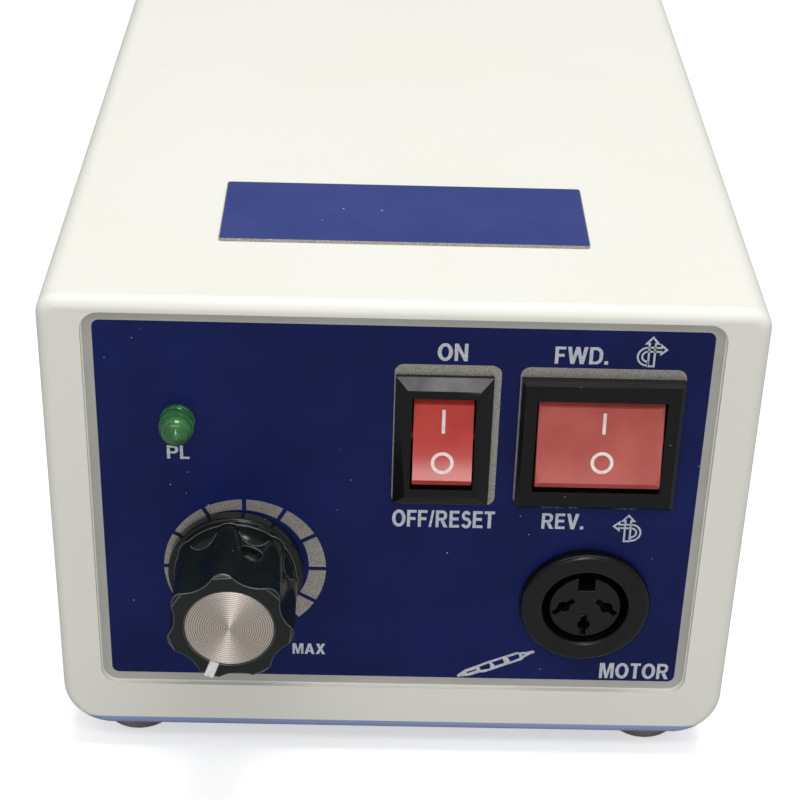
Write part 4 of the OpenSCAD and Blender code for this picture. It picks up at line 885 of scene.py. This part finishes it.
def rocker_marks(x, stroke_ends, ring_at):
    """The stroke near the top of a rocker and the ring below it."""
    half = MARK_LINE / 2
    low, high = stroke_ends
    ups = [low + (high - low) * i / STROKE_STEPS for i in range(STROKE_STEPS + 1)]
    stroke = strip_on_rocker([((x - half, up), (x + half, up)) for up in ups])
    inner = arc((x, ring_at), MARK_O_R - MARK_LINE, 0, 360, RING_STEPS)
    outer = arc((x, ring_at), MARK_O_R, 0, 360, RING_STEPS)
    return joined([stroke, strip_on_rocker(list(zip(inner, outer)))])


for name, (body, rocker, x, stroke_ends, ring_at) in ROCKER_MARKS.items():
    add_piece(name, rocker_marks(x, stroke_ends, ring_at), MARK_WHITE, body)

# ---------------------------------------------------------------------------------------------------------------------
# Knob: turned cap and painted pointer
# ---------------------------------------------------------------------------------------------------------------------

ON_KNOB = (Matrix.Translation((KNOB_AXIS[0] * MM, KNOB_FACE * MM, KNOB_AXIS[1] * MM))
           @ Matrix.Rotation(math.radians(90), 4, "X") @ Matrix.Scale(MM, 4))


def turned_cap():
    """Disc with the lathe's rings in its face, its face just under z = 0 and its back below."""
    profile = [(CAP_PITCH * (i + share), -CAP_SUNK - CAP_RING_DEEP * deep)
               for i in range(CAP_RINGS) for share, deep in CAP_RING_PROFILE]
    turned = bmesh.new()
    rows = [[turned.verts.new((x, y, z)) for x, y in arc((0, 0), radius, 0, 360, CAP_SIDES)[:-1]]
            for radius, z in (*profile, *CAP_EDGE)]
    middle = turned.verts.new((0, 0, -CAP_SUNK))
    for k in range(CAP_SIDES):
        after = (k + 1) % CAP_SIDES
        turned.faces.new((middle, rows[0][k], rows[0][after]))
        for inner, outer in zip(rows, rows[1:]):
            turned.faces.new((inner[k], outer[k], outer[after], inner[after]))
    turned.faces.new(rows[-1][::-1])
    mesh = bpy.data.meshes.new("cap")
    turned.to_mesh(mesh)
    turned.free()
    return mesh


cap_mesh = turned_cap()
cap_mesh.transform(ON_KNOB)
cap = add_piece("turned_cap", cap_mesh, FINISHES["cap_aluminium"], "knob", smooth=True)
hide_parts("knob_cap")


def pointer_line():
    """White paint in the pointer's groove, run over the knob's rim."""
    half = POINTER_W / 2
    bar = filled([[(POINTER_FROM, -half), (POINTER_TO, -half), (POINTER_TO, half), (POINTER_FROM, half)]], POINTER_DEEP)
    bar.transform(Matrix.Rotation(math.radians(POINTER_ANGLE), 4, "Z") @ Matrix.Translation((0, 0, -POINTER_DEEP)))
    return bar


pointer_mesh = pointer_line()
pointer_mesh.transform(ON_KNOB)
add_piece("pointer_line", pointer_mesh, POINTER_WHITE, "knob")

# ---------------------------------------------------------------------------------------------------------------------
# Floor, light and camera
# ---------------------------------------------------------------------------------------------------------------------

FLOOR_SIZE = 6.0
# LIT is what the scene gets from a glow, and SEEN what the camera sees of it
BACKDROP_COLOUR = "#FFFFFF"
BACKDROP_LIT, BACKDROP_SEEN = 0.34, 0.95
TABLE_GLOW_LIT = 0.0
# What the camera sees of the table's glow near the unit and far from it, and the distances between which it rises:
# painted light that washes the table's shadows out away from the unit
TABLE_GLOW_NEAR, TABLE_GLOW_FAR = 0.5, 0.95
TABLE_NEAR, TABLE_FAR = 0.3, 1.4
# Name: place, point aimed at, width, depth, power in watts
LAMPS = {
    "overhead_softbox": ((0.1, 0.0, 1.2), (0, 0.0, 0.05), 0.5, 0.5, 8.2),
    "high_strip": ((-0.02, -0.75, 1.1), (0, -0.08, 0.05), 1.6, 0.24, 3.6),
    "front_softbox": ((0.06, -1.3, 0.42), (0, -0.08, 0.05), 0.13, 0.74, 3.7),
}
CAMERA_AT = (-0.005354, -0.343483, 0.223393)
CAMERA_LENS = 89.372
CAMERA_SENSOR = 36
CAMERA_SHIFT_UP = 0.05
CAMERA_CLIP = (0.01, 20)
# Columns: the camera's right, its up, and the way back from the object
CAMERA_AXES = ((0.999645, -0.020667, -0.016823), (-0.003474, 0.524851, -0.851187), (0.026421, 0.850943, 0.524593))


def seen_or_lit(tree, lit, seen):
    """Strength of a glow: what the scene gets from it, and what the camera sees of it."""
    ray = put(tree, "ShaderNodeLightPath")
    return put(tree, "ShaderNodeMapRange", {"Value": ray.outputs["Is Camera Ray"], "To Min": lit, "To Max": seen})


def opal_acrylic_table():
    # Matt opal acrylic: no gloss and pale shadows. Its glow is painted light, in place of lamps under it, that only the
    # camera sees, and more of it away from the unit. The scene gets a grey bounce from it, and the camera sees it
    # white, as on a photo that was cut out on white.
    material, tree, shader = finish_of("opal_acrylic_table", "#ACACAB", 0.9, IOR=1.49, Emission_Color=linear("#FFFFFF"))
    away = put(tree, "ShaderNodeVectorMath", {0: where(tree)}, operation="LENGTH").outputs["Value"]
    seen = put(tree, "ShaderNodeMapRange", {"Value": away, "From Min": TABLE_NEAR, "From Max": TABLE_FAR,
                                            "To Min": TABLE_GLOW_NEAR, "To Max": TABLE_GLOW_FAR})
    glow = seen_or_lit(tree, TABLE_GLOW_LIT, seen.outputs["Result"])
    tree.links.new(glow.outputs["Result"], shader.inputs["Emission Strength"])
    grey = tone(tree, shader, 60, "#AAAAA9", "#AEAEAD")
    ray = put(tree, "ShaderNodeLightPath").outputs["Is Camera Ray"]
    shade = put(tree, "ShaderNodeMix", {0: ray, 6: grey, 7: linear("#F6F6F5")}, data_type="RGBA")
    tree.links.new(shade.outputs[2], shader.inputs["Base Color"])
    return material


floor_mesh = bpy.data.meshes.new("floor")
side = FLOOR_SIZE / 2
floor_mesh.from_pydata([(-side, -side, 0), (side, -side, 0), (side, side, 0), (-side, side, 0)], [], [(0, 1, 2, 3)])
floor_mesh.materials.append(opal_acrylic_table())
floor = bpy.data.objects.new("floor", floor_mesh)
bpy.context.scene.collection.objects.link(floor)

world = bpy.data.worlds.new("studio")
bpy.context.scene.world = world
world.use_nodes = True
world.node_tree.nodes.clear()
backdrop = seen_or_lit(world.node_tree, BACKDROP_LIT, BACKDROP_SEEN)
sky = put(world.node_tree, "ShaderNodeBackground", {"Color": linear(BACKDROP_COLOUR),
                                                    "Strength": backdrop.outputs["Result"]})
put(world.node_tree, "ShaderNodeOutputWorld", {"Surface": sky.outputs["Background"]})

for name, (place, aim, width, depth, watts) in LAMPS.items():
    light = bpy.data.lights.new(name, "AREA")
    light.shape = "RECTANGLE"
    light.size = width
    light.size_y = depth
    light.energy = watts
    lamp = bpy.data.objects.new(name, light)
    lamp.location = place
    lamp.rotation_euler = (Vector(aim) - Vector(place)).to_track_quat("-Z", "Y").to_euler()
    bpy.context.scene.collection.objects.link(lamp)

camera = bpy.data.cameras.new("camera")
camera.sensor_width = CAMERA_SENSOR
camera.lens = CAMERA_LENS
camera.shift_y = CAMERA_SHIFT_UP
camera.clip_start, camera.clip_end = CAMERA_CLIP
viewer = bpy.data.objects.new("camera", camera)
viewer.matrix_world = Matrix.Translation(CAMERA_AT) @ Matrix(CAMERA_AXES).to_4x4()
bpy.context.scene.collection.objects.link(viewer)
bpy.context.scene.camera = viewer
bpy.context.scene.view_settings.view_transform = "Standard"
